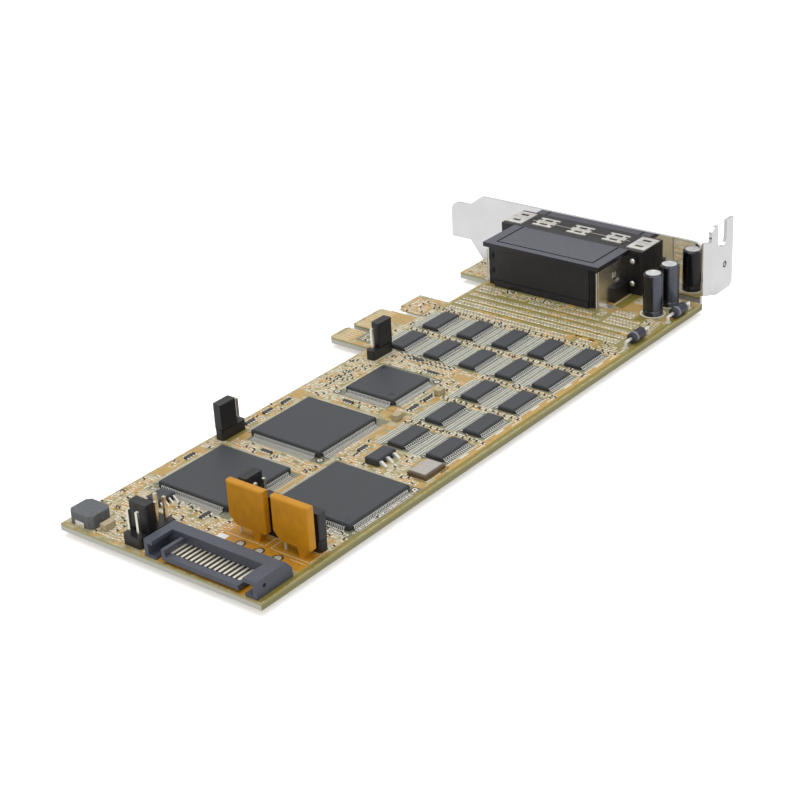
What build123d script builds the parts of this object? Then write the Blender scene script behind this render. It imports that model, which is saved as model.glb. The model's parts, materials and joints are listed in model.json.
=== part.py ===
from build123d import *
import os

os.makedirs("parts", exist_ok=True)

# Frame: +X runs along the card towards the bracket, +Y towards the gold contacts, +Z up from the
# component side. The origin is the middle of the key notch, where the contact tips end, on the
# underside of the board. All sizes are in millimetres.

# Board
board_length = 167.65
board_width = 55.9
contact_tab_height = 13.0
board_thickness = 1.6
key_from_near_end = 110.1
key_width = 1.9
key_depth = 8.2
short_tab_width = 7.15
long_tab_width = 11.65
tab_corner = 0.8
tip_bevel_length = 1.2
tip_bevel_height = 0.35
retention_gap = 4.2
retention_foot_share = 0.48
hook_width = 8.1
hook_height = 9.3
corner_tab_width = 14.65
corner_tab_height = 9.4
recess_foot_share = 0.056

# Gold contacts
contact_pitch = 1.0
contact_width = 0.7
contact_length = 4.6
contact_setback = 1.5
contact_thickness = 0.05
short_tab_contact_count = 7
long_tab_contact_count = 11

# Bracket
bracket_gap = 1.6
sheet = 0.86
bracket_height = 18.4
bracket_drop = 1.2
bracket_right_overhang = 0.4
bracket_length = 80.2
tongue_length = 10.3
tongue_height = 10.2
tongue_rise = 3.9
tongue_neck = 4.1
tongue_corner = 2.5
tab_reach = 12.9
tab_bottom = 1.9
tab_top = 20.7
tab_corner = 1.0
tab_corner_radius = 1.4
tab_foot_rise = 4.2
tab_shoulder = 3.2
tab_shoulder_drop = 0.8
bend_bottom = 2.9
screw_slot_width = 4.42
screw_slot_centre = 7.3
screw_slot_bottom = 14.3
small_hole_radius = 0.9
small_hole_reach = 8.9
small_hole_height = 8.9
bend_radius = 1.0

# Stacked host connector
host_centre = 37.4
jackscrew_spacing = 39.0
host_ear_margin = 2.25
host_body_height = 11.95
host_ear_depth = 5.2
host_core_depth = 12.7
host_base_height = 3.9
port_pitch = 6.1
lower_port_rise = 3.35
port_screw_gap = 3.8
port_height = 5.0
port_slant = 0.8
port_corner = 0.9
port_wall = 0.35
port_reach = 4.7
port_pocket = 5.0
port_clearance = 0.2
blade_side_gap = 1.9
blade_height = 1.5
blade_recess = 0.8
jackscrew_radius = 1.05
jackscrew_clearance = 0.1
jackscrew_hex_radius = 2.3
jackscrew_hex_length = 5.0
jackscrew_bore = 0.85
jackscrew_bore_depth = 3.6
round_sides = 12
rivet_radius = 1.1
rivet_height = 0.9
cover_depth = 13.7
cover_screw_gap = 2.7
host_base_side = 1.5
cover_roof = 1.2
cover_roof_side = 0.9
cover_roof_overhang = 0.6
cover_wall = 1.2
cover_column = 2.3
cover_column_setback = 0.7
cover_foot_height = 1.7
cover_foot_step = 0.35
cover_panel_inset = 2.8
cover_panel_groove = 0.45
cover_panel_depth = 0.3
cover_panel_margin = 1.4
plate_thickness = 0.3
latch_window = 2.4
latch_window_back = 5.1
latch_window_rise = 6.8
plate_foot_length = 2.0
plate_foot_reach = 2.3
plate_foot_from_front = 2.2
clip_thickness = 0.25
end_clip_width = 5.2
end_clip_depth = 4.0
end_clip_inset = 0.5
middle_clip_width = 5.8
middle_clip_depth = 2.7
middle_clip_pitch = 10.85
clip_window_width = 2.4
clip_window_depth = 1.1

# Power connector
power_right = 1.35
power_width = 30.1
power_front = 0.45
power_depth = 11.6
power_height = 4.0
power_flat_depth = 8.8
power_back_height = 0.7
power_back_corner = 1.2
power_bay_depth = 5.9
power_arm_wall = 1.0
power_arm_roof = 0.9
power_left_roof_width = 2.3
power_right_roof_width = 3.4
power_foot_width = 3.1
power_foot_height = 0.7
power_tongue_right = 4.85
power_tongue_width = 20.5
power_tongue_lift = 0.6
power_tongue_thickness = 1.1
power_key_width = 0.9
power_key_height = 1.4
power_contact_count = 15
power_contact_pitch = 1.27
power_contact_width = 0.84
power_contact_length = 4.3
power_contact_thickness = 0.12
arm_hole_radius = 0.45
arm_hole_depth = 0.6
arm_hole_back = 2.3
arm_hole_rise = 2.3

# Pin headers and jumper caps
pin_pitch = 2.54
pin_width = 0.64
pin_tip = 0.16
pin_top = 8.0
pin_tail = 1.1
header_base_height = 2.5
header_notch = 0.45
hole_clearance = 0.1
jumper_width = 2.4
jumper_length = 5.0
jumper_height = 6.2
jumper_corner = 0.2
jumper_groove_width = 0.7
jumper_groove_length = 3.3
jumper_groove_depth = 0.25
jumper_seat_gap = 0.15
jumper_pin_clearance = 0.08
jumper_roof = 0.45

# Transceiver chips, one outline used sixteen times
transceiver_length = 9.7
transceiver_width = 4.4
transceiver_height = 1.0
transceiver_first_along = 68.9
transceiver_first_across = 7.2
transceiver_pitch_along = 13.6
transceiver_left_margin = 6.3
transceiver_rows = (2, 2, 2, 5, 5)
lead_reach = 1.2
lead_sheet = 0.2
lead_foot = 0.5
chip_standoff = 0.1
chip_bevel = 0.25

# Square flat chips
large_chip_size = 20.0
large_chip_height = 1.5
bridge_chip_size = 14.0
bridge_chip_height = 1.45
dimple_radius = 0.8
dimple_depth = 0.08
dimple_inset = 1.8

# Small outline parts
regulator_length = 6.5
regulator_width = 3.5
regulator_height = 1.6
regulator_leg_pitch = 2.3
regulator_leg_width = 0.75
regulator_leg_reach = 1.75
regulator_tab_width = 3.0
driver_length = 4.9
driver_width = 3.9
driver_height = 1.5
driver_lead_count = 4
driver_lead_pitch = 1.27
driver_lead_width = 0.42
crystal_length = 7.0
crystal_width = 5.0
crystal_base_height = 0.9
crystal_lid_height = 0.35
crystal_lid_inset = 0.45
inductor_length = 6.4
inductor_width = 6.8
inductor_height = 3.0
inductor_corner = 0.9
inductor_clip_width = 2.6
inductor_clip_sheet = 0.15
inductor_clip_height = 1.3

# Upright capacitors
can_radius = 2.55
can_height = 11.0
can_shoulder = 0.4
can_groove_rise = 1.3
can_groove_width = 0.7
can_groove_depth = 0.2
can_lid_radius = 1.9
can_lid_sink = 0.2
can_lead_radius = 0.25
can_lead_pitch = 2.0

# Axial diodes
diode_radius = 1.35
diode_length = 5.2
diode_edge = 0.3
diode_axis_rise = 1.5
diode_wire_radius = 0.4
diode_lead_span = 10.16

# Resettable fuses
fuse_width = 10.0
fuse_thickness = 2.0
fuse_top = 11.8
fuse_bottom = 2.1
fuse_edge = 0.55
fuse_round = 0.9
fuse_corner = 2.2
fuse_leg_width = 2.4
fuse_lead_radius = 0.35
fuse_lead_pitch = 5.1

# Places on the board, counted from its near right corner: (along, across)
large_chip_places = {"port_controller_left": (32.4, 39.4),
                     "port_controller_middle": (61.1, board_width - 17.2),
                     "port_controller_right": (40.2, 13.0)}
bridge_chip_place = (86.9, 37.8)
regulator_place = (58.0, 17.1)
driver_place = (18.4, 44.9)
crystal_place = (58.9, 5.3)
inductor_place = (4.4, board_width - 4.6)
can_places = {"capacitor_near": (board_length - 11.45, 7.6), "capacitor_far": (board_length - 4.25, 7.2)}
diode_places = {"diode_near": (board_length - 27.75, 2.4), "diode_far": (board_length - 9.35, 1.5)}
fuse_places = {"fuse_left": (18.2, 18.98), "fuse_right": (18.2, 7.05)}

# Pin headers: place of the middle, pins along and across, and the jumper caps as
# (along step, across step, turned) counted in pin pitches from the middle
headers = {
    "header_front": ((6.5, 36.25), 4, 2, [(-0.5, 0, True)]),
    "header_middle": ((25.95, 24.15), 2, 2, [(0, 0.5, False)]),
    "header_right": ((21.65, 11.2), 1, 7, [(0, -2.5, True), (0, -0.5, True), (0, 1.5, True)]),
    "header_edge": ((49.4, board_width - 2.55), 3, 1, [(-0.5, 0, False)]),
    "header_contacts": ((100.4, board_width - 4.8), 3, 1, [(0.5, 0, False)]),
}

# How shapes are held while they are placed: by a corner, a side or the middle of their foot
by_corner = (Align.MIN, Align.MIN, Align.MIN)
by_left_corner = (Align.MIN, Align.MAX, Align.MIN)
by_middle = (Align.CENTER, Align.CENTER, Align.MIN)
by_near_side = (Align.MIN, Align.CENTER, Align.MIN)
by_far_side = (Align.MAX, Align.CENTER, Align.MIN)
flat_by_corner = (Align.MIN, Align.MIN)
flat_by_far_corner = (Align.MAX, Align.MIN)
flat_by_far_side = (Align.MAX, Align.CENTER)

# Derived sizes
card_height = board_width + contact_tab_height
host_body_width = jackscrew_spacing + 2 * host_ear_margin
port_width = jackscrew_spacing - 2 * port_screw_gap
blade_width = port_width - 2 * blade_side_gap
cover_width = jackscrew_spacing - 2 * cover_screw_gap
cover_roof_width = cover_width + 2 * cover_roof_side
end_clip_offset = jackscrew_spacing / 2 - end_clip_inset
transceiver_last_across = board_width - transceiver_left_margin
transceiver_span = transceiver_last_across - transceiver_first_across
transceiver_pitch_across = transceiver_span / (max(transceiver_rows) - 1)

# Derived places
near_end = -key_from_near_end
far_end = near_end + board_length
right_edge = -card_height
left_edge = right_edge + board_width
top = board_thickness
short_tab_start = -key_width / 2 - short_tab_width
long_tab_end = key_width / 2 + long_tab_width
hook_start = long_tab_end + retention_gap
bracket_face = far_end + bracket_gap
near_enough = 0.01


def on_board(place):
    """Turns a place counted from the near right corner into frame coordinates."""
    along, across = place
    return near_end + along, right_edge + across


def finish(piece, name):
    """Labels a finished piece and writes it as a STEP file."""
    piece.label = name
    export_step(piece, f"parts/{name}.step")


def header_pins(place, along, across):
    """Lists the pin axes of a header."""
    x0, y0 = on_board(place)
    return [(x0 + (i - (along - 1) / 2) * pin_pitch, y0 + (j - (across - 1) / 2) * pin_pitch)
            for i in range(along) for j in range(across)]


# Pins and wires that pass through the board
all_pins = [pin for place, along, across, caps in headers.values()
            for pin in header_pins(place, along, across)]
can_wires = [(x + side * can_lead_pitch / 2, y)
             for x, y in map(on_board, can_places.values()) for side in (-1, 1)]
diode_wires = [(x + side * diode_lead_span / 2, y)
               for x, y in map(on_board, diode_places.values()) for side in (-1, 1)]
fuse_wires = [(x, y + side * fuse_lead_pitch / 2)
              for x, y in map(on_board, fuse_places.values()) for side in (-1, 1)]

# Circuit board with two contact tabs, the retention hook and the tab beside the bracket
with BuildPart() as circuit_board:
    with BuildSketch():
        with Locations((near_end, right_edge)):
            Rectangle(board_length, board_width, align=flat_by_corner)
        with Locations((short_tab_start, left_edge)):
            tab_width = long_tab_end - short_tab_start
            Rectangle(tab_width, card_height - board_width, align=flat_by_corner)
        with Locations((hook_start, left_edge)):
            Rectangle(hook_width, hook_height, align=flat_by_corner)
        with Locations((far_end, left_edge)):
            Rectangle(corner_tab_width, corner_tab_height, align=flat_by_far_corner)
    extrude(amount=board_thickness)
    with BuildSketch(Plane.XY.offset(board_thickness)) as key_notch:
        with Locations((0, -key_depth / 2)):
            Rectangle(key_width, key_depth)
        with Locations((0, -key_depth)):
            Circle(key_width / 2)
    extrude(amount=-board_thickness, mode=Mode.SUBTRACT)
    uprights = circuit_board.edges().filter_by(Axis.Z)
    gap_foot = [e for e in uprights
                if abs(e.center().Y - left_edge) < near_enough
                and long_tab_end - near_enough < e.center().X < hook_start + near_enough]
    fillet(gap_foot, retention_gap * retention_foot_share)
    recess_width = far_end - corner_tab_width - hook_start - hook_width
    uprights = circuit_board.edges().filter_by(Axis.Z)
    recess_foot = [e for e in uprights
                   if abs(e.center().Y - left_edge) < near_enough
                   and e.center().X > hook_start + hook_width - near_enough
                   and e.center().X < far_end - corner_tab_width + near_enough]
    fillet(recess_foot, recess_width * recess_foot_share)
    uprights = circuit_board.edges().filter_by(Axis.Z)
    tips = [e for e in uprights if abs(e.center().Y) < near_enough]
    chamfer(tips, tab_corner)
    tip_edges = [e for e in circuit_board.edges().filter_by(Axis.X) if abs(e.center().Y) < near_enough]
    tip_faces = [f for f in circuit_board.faces().filter_by(Axis.Y) if abs(f.center().Y) < near_enough]
    for edge in tip_edges:
        face = min(tip_faces, key=lambda f: abs(f.center().X - edge.center().X))
        chamfer(edge, tip_bevel_height, tip_bevel_length, reference=face)
    with BuildSketch(Plane.XY.offset(board_thickness)):
        with Locations(*all_pins):
            Rectangle(pin_width + 2 * hole_clearance, pin_width + 2 * hole_clearance)
        for wires, radius in ((can_wires, can_lead_radius), (diode_wires, diode_wire_radius),
                              (fuse_wires, fuse_lead_radius)):
            with Locations(*wires):
                RegularPolygon(radius + hole_clearance, 8)
    extrude(amount=-board_thickness, mode=Mode.SUBTRACT)
finish(circuit_board.part, "circuit_board")

# Gold contacts, one row of separate pads on each face
short_tab_centre = -(key_width + short_tab_width) / 2
long_tab_centre = (key_width + long_tab_width) / 2
contact_centres = [tab_centre + (i - (count - 1) / 2) * contact_pitch
                   for tab_centre, count in ((short_tab_centre, short_tab_contact_count),
                                             (long_tab_centre, long_tab_contact_count))
                   for i in range(count)]
contact_y = -contact_setback - contact_length / 2
contact_faces = (("edge_contacts_top", board_thickness, 1), ("edge_contacts_underside", 0, -1))
for name, height, direction in contact_faces:
    with BuildPart() as contacts:
        with BuildSketch(Plane.XY.offset(height)):
            with Locations(*[(x, contact_y) for x in contact_centres]):
                Rectangle(contact_width, contact_length)
        extrude(amount=direction * contact_thickness)
    finish(contacts.part, name)

# Bracket: a flat strip across the end of the card, its tongue, and the screw tab bent outwards
strip_x = bracket_face
tab_y = right_edge - bracket_right_overhang
bend_outside = bend_radius + sheet
tongue_tip = tab_y + bracket_length
strip_left = tongue_tip - tongue_length
strip_top = bracket_height - bracket_drop
tongue_top = tongue_rise + tongue_height
port_y = right_edge + host_centre
port_levels = [top + lower_port_rise, top + lower_port_rise + port_pitch]
screw_y = [port_y - jackscrew_spacing / 2, port_y + jackscrew_spacing / 2]


def port_outline(grow):
    """Points of the slanted port outline, wider at the top, grown outwards by the given amount."""
    half_width = port_width / 2 + grow
    half_height = port_height / 2 + grow
    return [(-half_width + port_slant, -half_height), (half_width - port_slant, -half_height),
            (half_width, half_height), (-half_width, half_height)]


with BuildPart() as bracket:
    with BuildSketch(Plane.YZ.offset(strip_x)) as strip:
        with BuildLine():
            Polyline((tab_y + bend_outside, -bracket_drop), (strip_left, -bracket_drop),
                     (strip_left + tongue_neck, tongue_rise), (tongue_tip, tongue_rise),
                     (tongue_tip, tongue_top), (strip_left + tongue_neck, tongue_top),
                     (strip_left, strip_top), (tab_y + bend_outside, strip_top), close=True)
        make_face()
        fillet([v for v in strip.vertices() if v.Y > tongue_tip - near_enough], tongue_corner)
    extrude(amount=sheet)
    with BuildSketch(Plane.XZ.offset(-tab_y)) as tab:
        with BuildLine():
            Polyline((strip_x + bend_outside, bend_bottom), (strip_x + tab_foot_rise, tab_bottom),
                     (strip_x + tab_reach - tab_corner, tab_bottom),
                     (strip_x + tab_reach, tab_bottom + tab_corner),
                     (strip_x + tab_reach, tab_top), (strip_x + tab_shoulder, tab_top),
                     (strip_x + bend_outside, tab_top - tab_shoulder_drop), close=True)
        make_face()
        tab_corners = [v for v in tab.vertices() if v.X > strip_x + tab_reach - near_enough]
        fillet([v for v in tab_corners if v.Z > tab_top - near_enough], tab_corner_radius)
        with Locations((strip_x + screw_slot_centre, tab_top)):
            Rectangle(screw_slot_width, 2 * (tab_top - screw_slot_bottom) - screw_slot_width,
                      mode=Mode.SUBTRACT)
        with Locations((strip_x + screw_slot_centre, screw_slot_bottom + screw_slot_width / 2)):
            Circle(screw_slot_width / 2, mode=Mode.SUBTRACT)
        with Locations((strip_x + small_hole_reach, small_hole_height)):
            RegularPolygon(small_hole_radius, round_sides, mode=Mode.SUBTRACT)
    extrude(amount=-sheet)
    with BuildSketch(Plane.XY.offset(bend_bottom)):
        with Locations((strip_x + bend_outside, tab_y + bend_outside)):
            Circle(bend_outside)
            Circle(bend_radius, mode=Mode.SUBTRACT)
            for hold in ((Align.MIN, Align.CENTER), (Align.CENTER, Align.MIN)):
                Rectangle(2 * bend_outside, 2 * bend_outside, align=hold, mode=Mode.SUBTRACT)
    extrude(amount=strip_top - bend_bottom)
    with BuildSketch(Plane.YZ.offset(strip_x)):
        for level in port_levels:
            with BuildSketch(mode=Mode.ADD) as opening:
                with Locations((port_y, level)):
                    Polygon(*port_outline(port_clearance), align=None)
                fillet(opening.vertices(), port_corner + port_clearance)
        with Locations(*[(y, z) for y in screw_y for z in port_levels]):
            RegularPolygon(jackscrew_radius + jackscrew_clearance, round_sides)
    extrude(amount=sheet, mode=Mode.SUBTRACT)
finish(bracket.part, "bracket")

# Connector body: ears against the bracket, a core behind them and two pockets for the plugs
with BuildPart() as host_body:
    with Locations((bracket_face, port_y, top)):
        Box(host_ear_depth, host_body_width, host_body_height, align=by_far_side)
        Box(host_core_depth, cover_width, host_body_height - cover_roof, align=by_far_side)
    with Locations((bracket_face, port_y, top)):
        base_offset = (cover_width + host_base_side + plate_thickness) / 2
        for side in (-1, 1):
            with Locations((-host_ear_depth, side * base_offset, 0)):
                Box(host_core_depth - host_ear_depth, host_base_side - plate_thickness, host_base_height,
                    align=by_far_side)
    with BuildSketch(Plane.YZ.offset(bracket_face)):
        for level in port_levels:
            with BuildSketch(mode=Mode.ADD) as pocket:
                with Locations((port_y, level)):
                    Polygon(*port_outline(-port_wall), align=None)
                fillet(pocket.vertices(), port_corner - port_wall)
    extrude(amount=-port_pocket, mode=Mode.SUBTRACT)
    with BuildSketch(Plane.YZ.offset(bracket_face)):
        with Locations(*[(y, z) for y in screw_y for z in port_levels]):
            RegularPolygon(jackscrew_radius, round_sides)
    extrude(amount=-host_ear_depth, mode=Mode.SUBTRACT)
finish(host_body.part, "host_body")

# Shells of the two ports, standing out past the bracket, and the contact blades inside them
shell_length = sheet + port_reach
for name, level in (("lower_port", port_levels[0]), ("upper_port", port_levels[1])):
    with BuildPart() as shell:
        with BuildSketch(Plane.YZ.offset(bracket_face)) as ring:
            with Locations((port_y, level)):
                Polygon(*port_outline(0), align=None)
            fillet(ring.vertices(), port_corner)
            with BuildSketch(mode=Mode.SUBTRACT) as hollow:
                with Locations((port_y, level)):
                    Polygon(*port_outline(-port_wall), align=None)
                fillet(hollow.vertices(), port_corner - port_wall)
        extrude(amount=shell_length)
    finish(shell.part, f"{name}_shell")
    with BuildPart() as blade:
        with Locations((bracket_face - port_pocket, port_y, level)):
            Box(port_pocket + shell_length - blade_recess, blade_width, blade_height,
                align=(Align.MIN, Align.CENTER, Align.CENTER))
        chamfer(blade.faces().sort_by(Axis.X)[-1].edges().filter_by(Axis.Y), blade_height / 4)
    finish(blade.part, f"{name}_blade")

# Jackscrews that hold the connector and the bracket together, riveted behind the ears
with BuildPart() as jackscrews:
    with BuildSketch(Plane.YZ.offset(bracket_face - host_ear_depth)):
        with Locations(*[(y, z) for y in screw_y for z in port_levels]):
            RegularPolygon(jackscrew_radius, round_sides)
    extrude(amount=host_ear_depth + sheet)
    with BuildSketch(Plane.YZ.offset(bracket_face + sheet)):
        with Locations(*[(y, z) for y in screw_y for z in port_levels]):
            RegularPolygon(jackscrew_hex_radius, 6)
    extrude(amount=jackscrew_hex_length)
    with BuildSketch(Plane.YZ.offset(bracket_face - host_ear_depth)):
        with Locations(*[(y, z) for y in screw_y for z in port_levels]):
            RegularPolygon(rivet_radius, round_sides)
    extrude(amount=-rivet_height)
    with BuildSketch(Plane.YZ.offset(bracket_face + sheet + jackscrew_hex_length)):
        with Locations(*[(y, z) for y in screw_y for z in port_levels]):
            RegularPolygon(jackscrew_bore, round_sides)
    extrude(amount=-jackscrew_bore_depth, mode=Mode.SUBTRACT)
finish(jackscrews.part, "jackscrews")

# Cover over the connector's pins: a front wall, side columns and an overhanging roof
cover_back = bracket_face - host_ear_depth
cover_front = cover_back - cover_depth
core_front = bracket_face - host_core_depth
roof_level = top + host_body_height - cover_roof
with BuildPart() as host_cover:
    with Locations((cover_front, port_y, top)):
        Box(cover_wall, cover_width - 2 * cover_column, roof_level - top, align=by_near_side)
        with Locations((-cover_foot_step, 0, 0)):
            Box(cover_foot_step, cover_width - 2 * cover_column, cover_foot_height,
                align=by_near_side)
        for side in (-1, 1):
            with Locations((cover_column_setback, side * (cover_width - cover_column) / 2, 0)):
                Box(core_front - cover_front - cover_column_setback, cover_column, roof_level - top,
                    align=by_near_side)
    with Locations((cover_back, port_y, roof_level)):
        Box(cover_depth + cover_roof_overhang, cover_roof_width, cover_roof, align=by_far_side)
    panel_width = cover_roof_width - 2 * cover_panel_inset
    panel_depth = cover_depth - cover_panel_margin
    with BuildSketch(Plane.XY.offset(roof_level + cover_roof)):
        with Locations((cover_back, port_y)):
            Rectangle(panel_depth, panel_width, align=flat_by_far_side)
            Rectangle(panel_depth - cover_panel_groove, panel_width - 2 * cover_panel_groove,
                      align=flat_by_far_side, mode=Mode.SUBTRACT)
    extrude(amount=-cover_panel_depth, mode=Mode.SUBTRACT)
finish(host_cover.part, "host_cover")

# Ground plates on both sides of the cover, each with a latch window and a foot on the board
for name, side in (("ground_plate_right", -1), ("ground_plate_left", 1)):
    inner_y = port_y + side * cover_width / 2
    outer_y = inner_y + side * plate_thickness
    with BuildPart() as plate:
        with BuildSketch(Plane.XZ.offset(-min(inner_y, outer_y))):
            with Locations((cover_back, top)):
                Rectangle(cover_depth - cover_column_setback, roof_level - top, align=flat_by_far_corner)
            with Locations((cover_back - latch_window_back, top + latch_window_rise)):
                Rectangle(latch_window, latch_window, mode=Mode.SUBTRACT)
        extrude(amount=-plate_thickness)
        with Locations((cover_front + plate_foot_from_front, outer_y + side * plate_foot_reach / 2, top)):
            Box(plate_foot_length, plate_foot_reach, plate_thickness, align=by_near_side)
    finish(plate.part, name)

# Spring clips on top of the connector, against the bracket
body_top = top + host_body_height
with BuildPart() as end_clips:
    with BuildSketch(Plane.XY.offset(body_top)):
        for side in (-1, 1):
            with Locations((bracket_face - end_clip_depth / 2, port_y + side * end_clip_offset)):
                Rectangle(end_clip_depth, end_clip_width)
                Rectangle(clip_window_depth, clip_window_width, mode=Mode.SUBTRACT)
    extrude(amount=clip_thickness)
finish(end_clips.part, "end_clips")

with BuildPart() as middle_clips:
    with BuildSketch(Plane.XY.offset(body_top)):
        for step in (-1, 0, 1):
            with Locations((bracket_face - middle_clip_depth / 2, port_y + step * middle_clip_pitch)):
                Rectangle(middle_clip_depth, middle_clip_width)
                Rectangle(clip_window_depth, clip_window_width, mode=Mode.SUBTRACT)
    extrude(amount=clip_thickness)
finish(middle_clips.part, "middle_clips")

# Power connector: a back bar, two arms and a keyed tongue between them
power_x, power_y = on_board((power_front, power_right))
tongue_y = power_y + power_tongue_right
tongue_top_level = top + power_tongue_lift + power_tongue_thickness
with BuildPart() as power_housing:
    with BuildSketch(Plane.XZ.offset(-power_y)):
        with Locations((power_x, top)):
            Polygon((0, 0), (power_depth, 0), (power_depth, power_back_height),
                    (power_flat_depth, power_height), (0, power_height), align=None)
    extrude(amount=-power_width)
    with Locations((power_x, power_y + power_arm_wall, top)):
        Box(power_bay_depth, power_width - 2 * power_arm_wall, power_height, align=by_corner,
            mode=Mode.SUBTRACT)
    with Locations((power_x, power_y, top)):
        Box(power_bay_depth, power_foot_width, power_foot_height, align=by_corner)
        with Locations((0, 0, power_height - power_arm_roof)):
            Box(power_bay_depth, power_right_roof_width, power_arm_roof, align=by_corner)
    with Locations((power_x, power_y + power_width, top)):
        Box(power_bay_depth, power_foot_width, power_foot_height, align=by_left_corner)
        with Locations((0, 0, power_height - power_arm_roof)):
            Box(power_bay_depth, power_left_roof_width, power_arm_roof, align=by_left_corner)
    with Locations((power_x, tongue_y, top + power_tongue_lift)):
        Box(power_bay_depth, power_tongue_width, power_tongue_thickness, align=by_corner)
    with Locations((power_x, tongue_y + power_tongue_width, tongue_top_level)):
        Box(power_bay_depth, power_key_width, power_key_height, align=by_left_corner)
    power_uprights = power_housing.edges().filter_by(Axis.Z)
    back_corners = [e for e in power_uprights if e.center().X > power_x + power_depth - near_enough]
    chamfer(back_corners, power_back_corner)
    with BuildSketch(Plane.XZ.offset(-power_y)):
        with Locations((power_x + arm_hole_back, top + arm_hole_rise)):
            Circle(arm_hole_radius)
    extrude(amount=-arm_hole_depth, mode=Mode.SUBTRACT)
finish(power_housing.part, "power_housing")

with BuildPart() as power_contacts:
    with BuildSketch(Plane.XY.offset(tongue_top_level)):
        with Locations((power_x + power_bay_depth - power_contact_length / 2, power_y + power_width / 2)):
            with GridLocations(power_contact_pitch, power_contact_pitch, 1, power_contact_count):
                Rectangle(power_contact_length, power_contact_width)
    extrude(amount=power_contact_thickness)
finish(power_contacts.part, "power_contacts")

# Pin headers: plastic bases notched between the pins, square pins and the jumper caps on them
base_top = top + header_base_height
for name, (place, along, across, caps) in headers.items():
    x0, y0 = on_board(place)
    with BuildPart() as header_base:
        with BuildSketch(Plane.XY.offset(top)) as outline:
            with Locations((x0, y0)):
                Rectangle(along * pin_pitch, across * pin_pitch)
            chamfer(outline.vertices(), header_notch)
            with Locations(*header_pins(place, along, across)):
                Rectangle(pin_width, pin_width, mode=Mode.SUBTRACT)
        extrude(amount=header_base_height)
    finish(header_base.part, name)

    for count, (step_along, step_across, turned) in enumerate(caps, start=1):
        cap_x, cap_y = x0 + step_along * pin_pitch, y0 + step_across * pin_pitch
        cap_size = (jumper_length, jumper_width)
        groove = (jumper_groove_length, jumper_groove_width)
        pin_step = (pin_pitch / 2, 0)
        if turned:
            cap_size, groove, pin_step = cap_size[::-1], groove[::-1], pin_step[::-1]
        cap_pins = [(cap_x + side * pin_step[0], cap_y + side * pin_step[1]) for side in (-1, 1)]
        cap_bottom = base_top + jumper_seat_gap
        with BuildPart() as jumper:
            with BuildSketch(Plane.XY.offset(cap_bottom)) as cap_outline:
                with Locations((cap_x, cap_y)):
                    Rectangle(*cap_size)
                chamfer(cap_outline.vertices(), jumper_corner)
            extrude(amount=jumper_height)
            with BuildSketch(Plane.XY.offset(cap_bottom)):
                with Locations(*cap_pins):
                    Rectangle(pin_width + 2 * jumper_pin_clearance, pin_width + 2 * jumper_pin_clearance)
            extrude(amount=jumper_height - jumper_roof, mode=Mode.SUBTRACT)
            with BuildSketch(Plane.XY.offset(cap_bottom + jumper_height)):
                with Locations((cap_x, cap_y)):
                    Rectangle(*groove)
            extrude(amount=-jumper_groove_depth, mode=Mode.SUBTRACT)
        suffix = f"_{count}" if len(caps) > 1 else ""
        finish(jumper.part, name.replace("header", "jumper") + suffix)

with BuildPart() as pins:
    with BuildSketch(Plane.XY.offset(-pin_tail)):
        with Locations(*all_pins):
            Rectangle(pin_width, pin_width)
    extrude(amount=pin_tail + top + pin_top)
    ends = [f for f in pins.faces().filter_by(Axis.Z) if f.center().Z > top]
    chamfer([e for f in ends for e in f.edges()], pin_tip)
finish(pins.part, "header_pins")

# Moulded chips: a body that stands just off the board, and rows of leads that meet its sides
def moulded_body(length, width, height):
    """Builds a chip body round the origin, its upper edges bevelled."""
    with BuildPart() as body:
        with Locations((0, 0, chip_standoff)):
            Box(length, width, height, align=by_middle)
        chamfer(body.faces().sort_by(Axis.Z)[-1].edges(), chip_bevel)
    return body.part


def sloping_leads(width, height, count, pitch, lead_width):
    """Builds two rows of leads that slope from the middle of the body's sides down to the board."""
    middle = chip_standoff + height / 2
    with BuildPart() as leads:
        for side in (-1, 1):
            for i in range(count):
                with BuildSketch(Plane.YZ.offset((i - (count - 1) / 2) * pitch - lead_width / 2)):
                    with Locations((side * width / 2, 0)):
                        Polygon((0, middle - lead_sheet), (side * lead_foot, 0), (side * lead_reach, 0),
                                (0, middle + lead_sheet), align=None)
                extrude(amount=lead_width)
    return leads.part


def placed(pieces, place):
    """Sets separate solids down on the board as one component."""
    spot = Location((*on_board(place), top))
    return Compound(children=[spot * solid for piece in pieces for solid in piece.solids()])


# Sixteen thin transceiver chips, all from one body; their fine leads are too many to be bodies here
transceiver_body = moulded_body(transceiver_length, transceiver_width, transceiver_height)
serial = 0
for column, rows in enumerate(transceiver_rows):
    for row in range(rows):
        serial += 1
        place = (transceiver_first_along + column * transceiver_pitch_along,
                 transceiver_first_across + row * transceiver_pitch_across)
        finish(placed([transceiver_body], place), f"transceiver_{serial:02d}")

# Square flat chips; their fine leads are too many to be separate bodies here
large_body = moulded_body(large_chip_size, large_chip_size, large_chip_height)
for name, place in large_chip_places.items():
    finish(placed([large_body], place), name)

with BuildPart() as bridge_chip:
    add(moulded_body(bridge_chip_size, bridge_chip_size, bridge_chip_height))
    with BuildSketch(Plane.XY.offset(chip_standoff + bridge_chip_height)):
        with Locations((dimple_inset - bridge_chip_size / 2, dimple_inset - bridge_chip_size / 2)):
            Circle(dimple_radius)
    extrude(amount=-dimple_depth, mode=Mode.SUBTRACT)
finish(placed([bridge_chip.part], bridge_chip_place), "bridge_chip")

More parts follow.
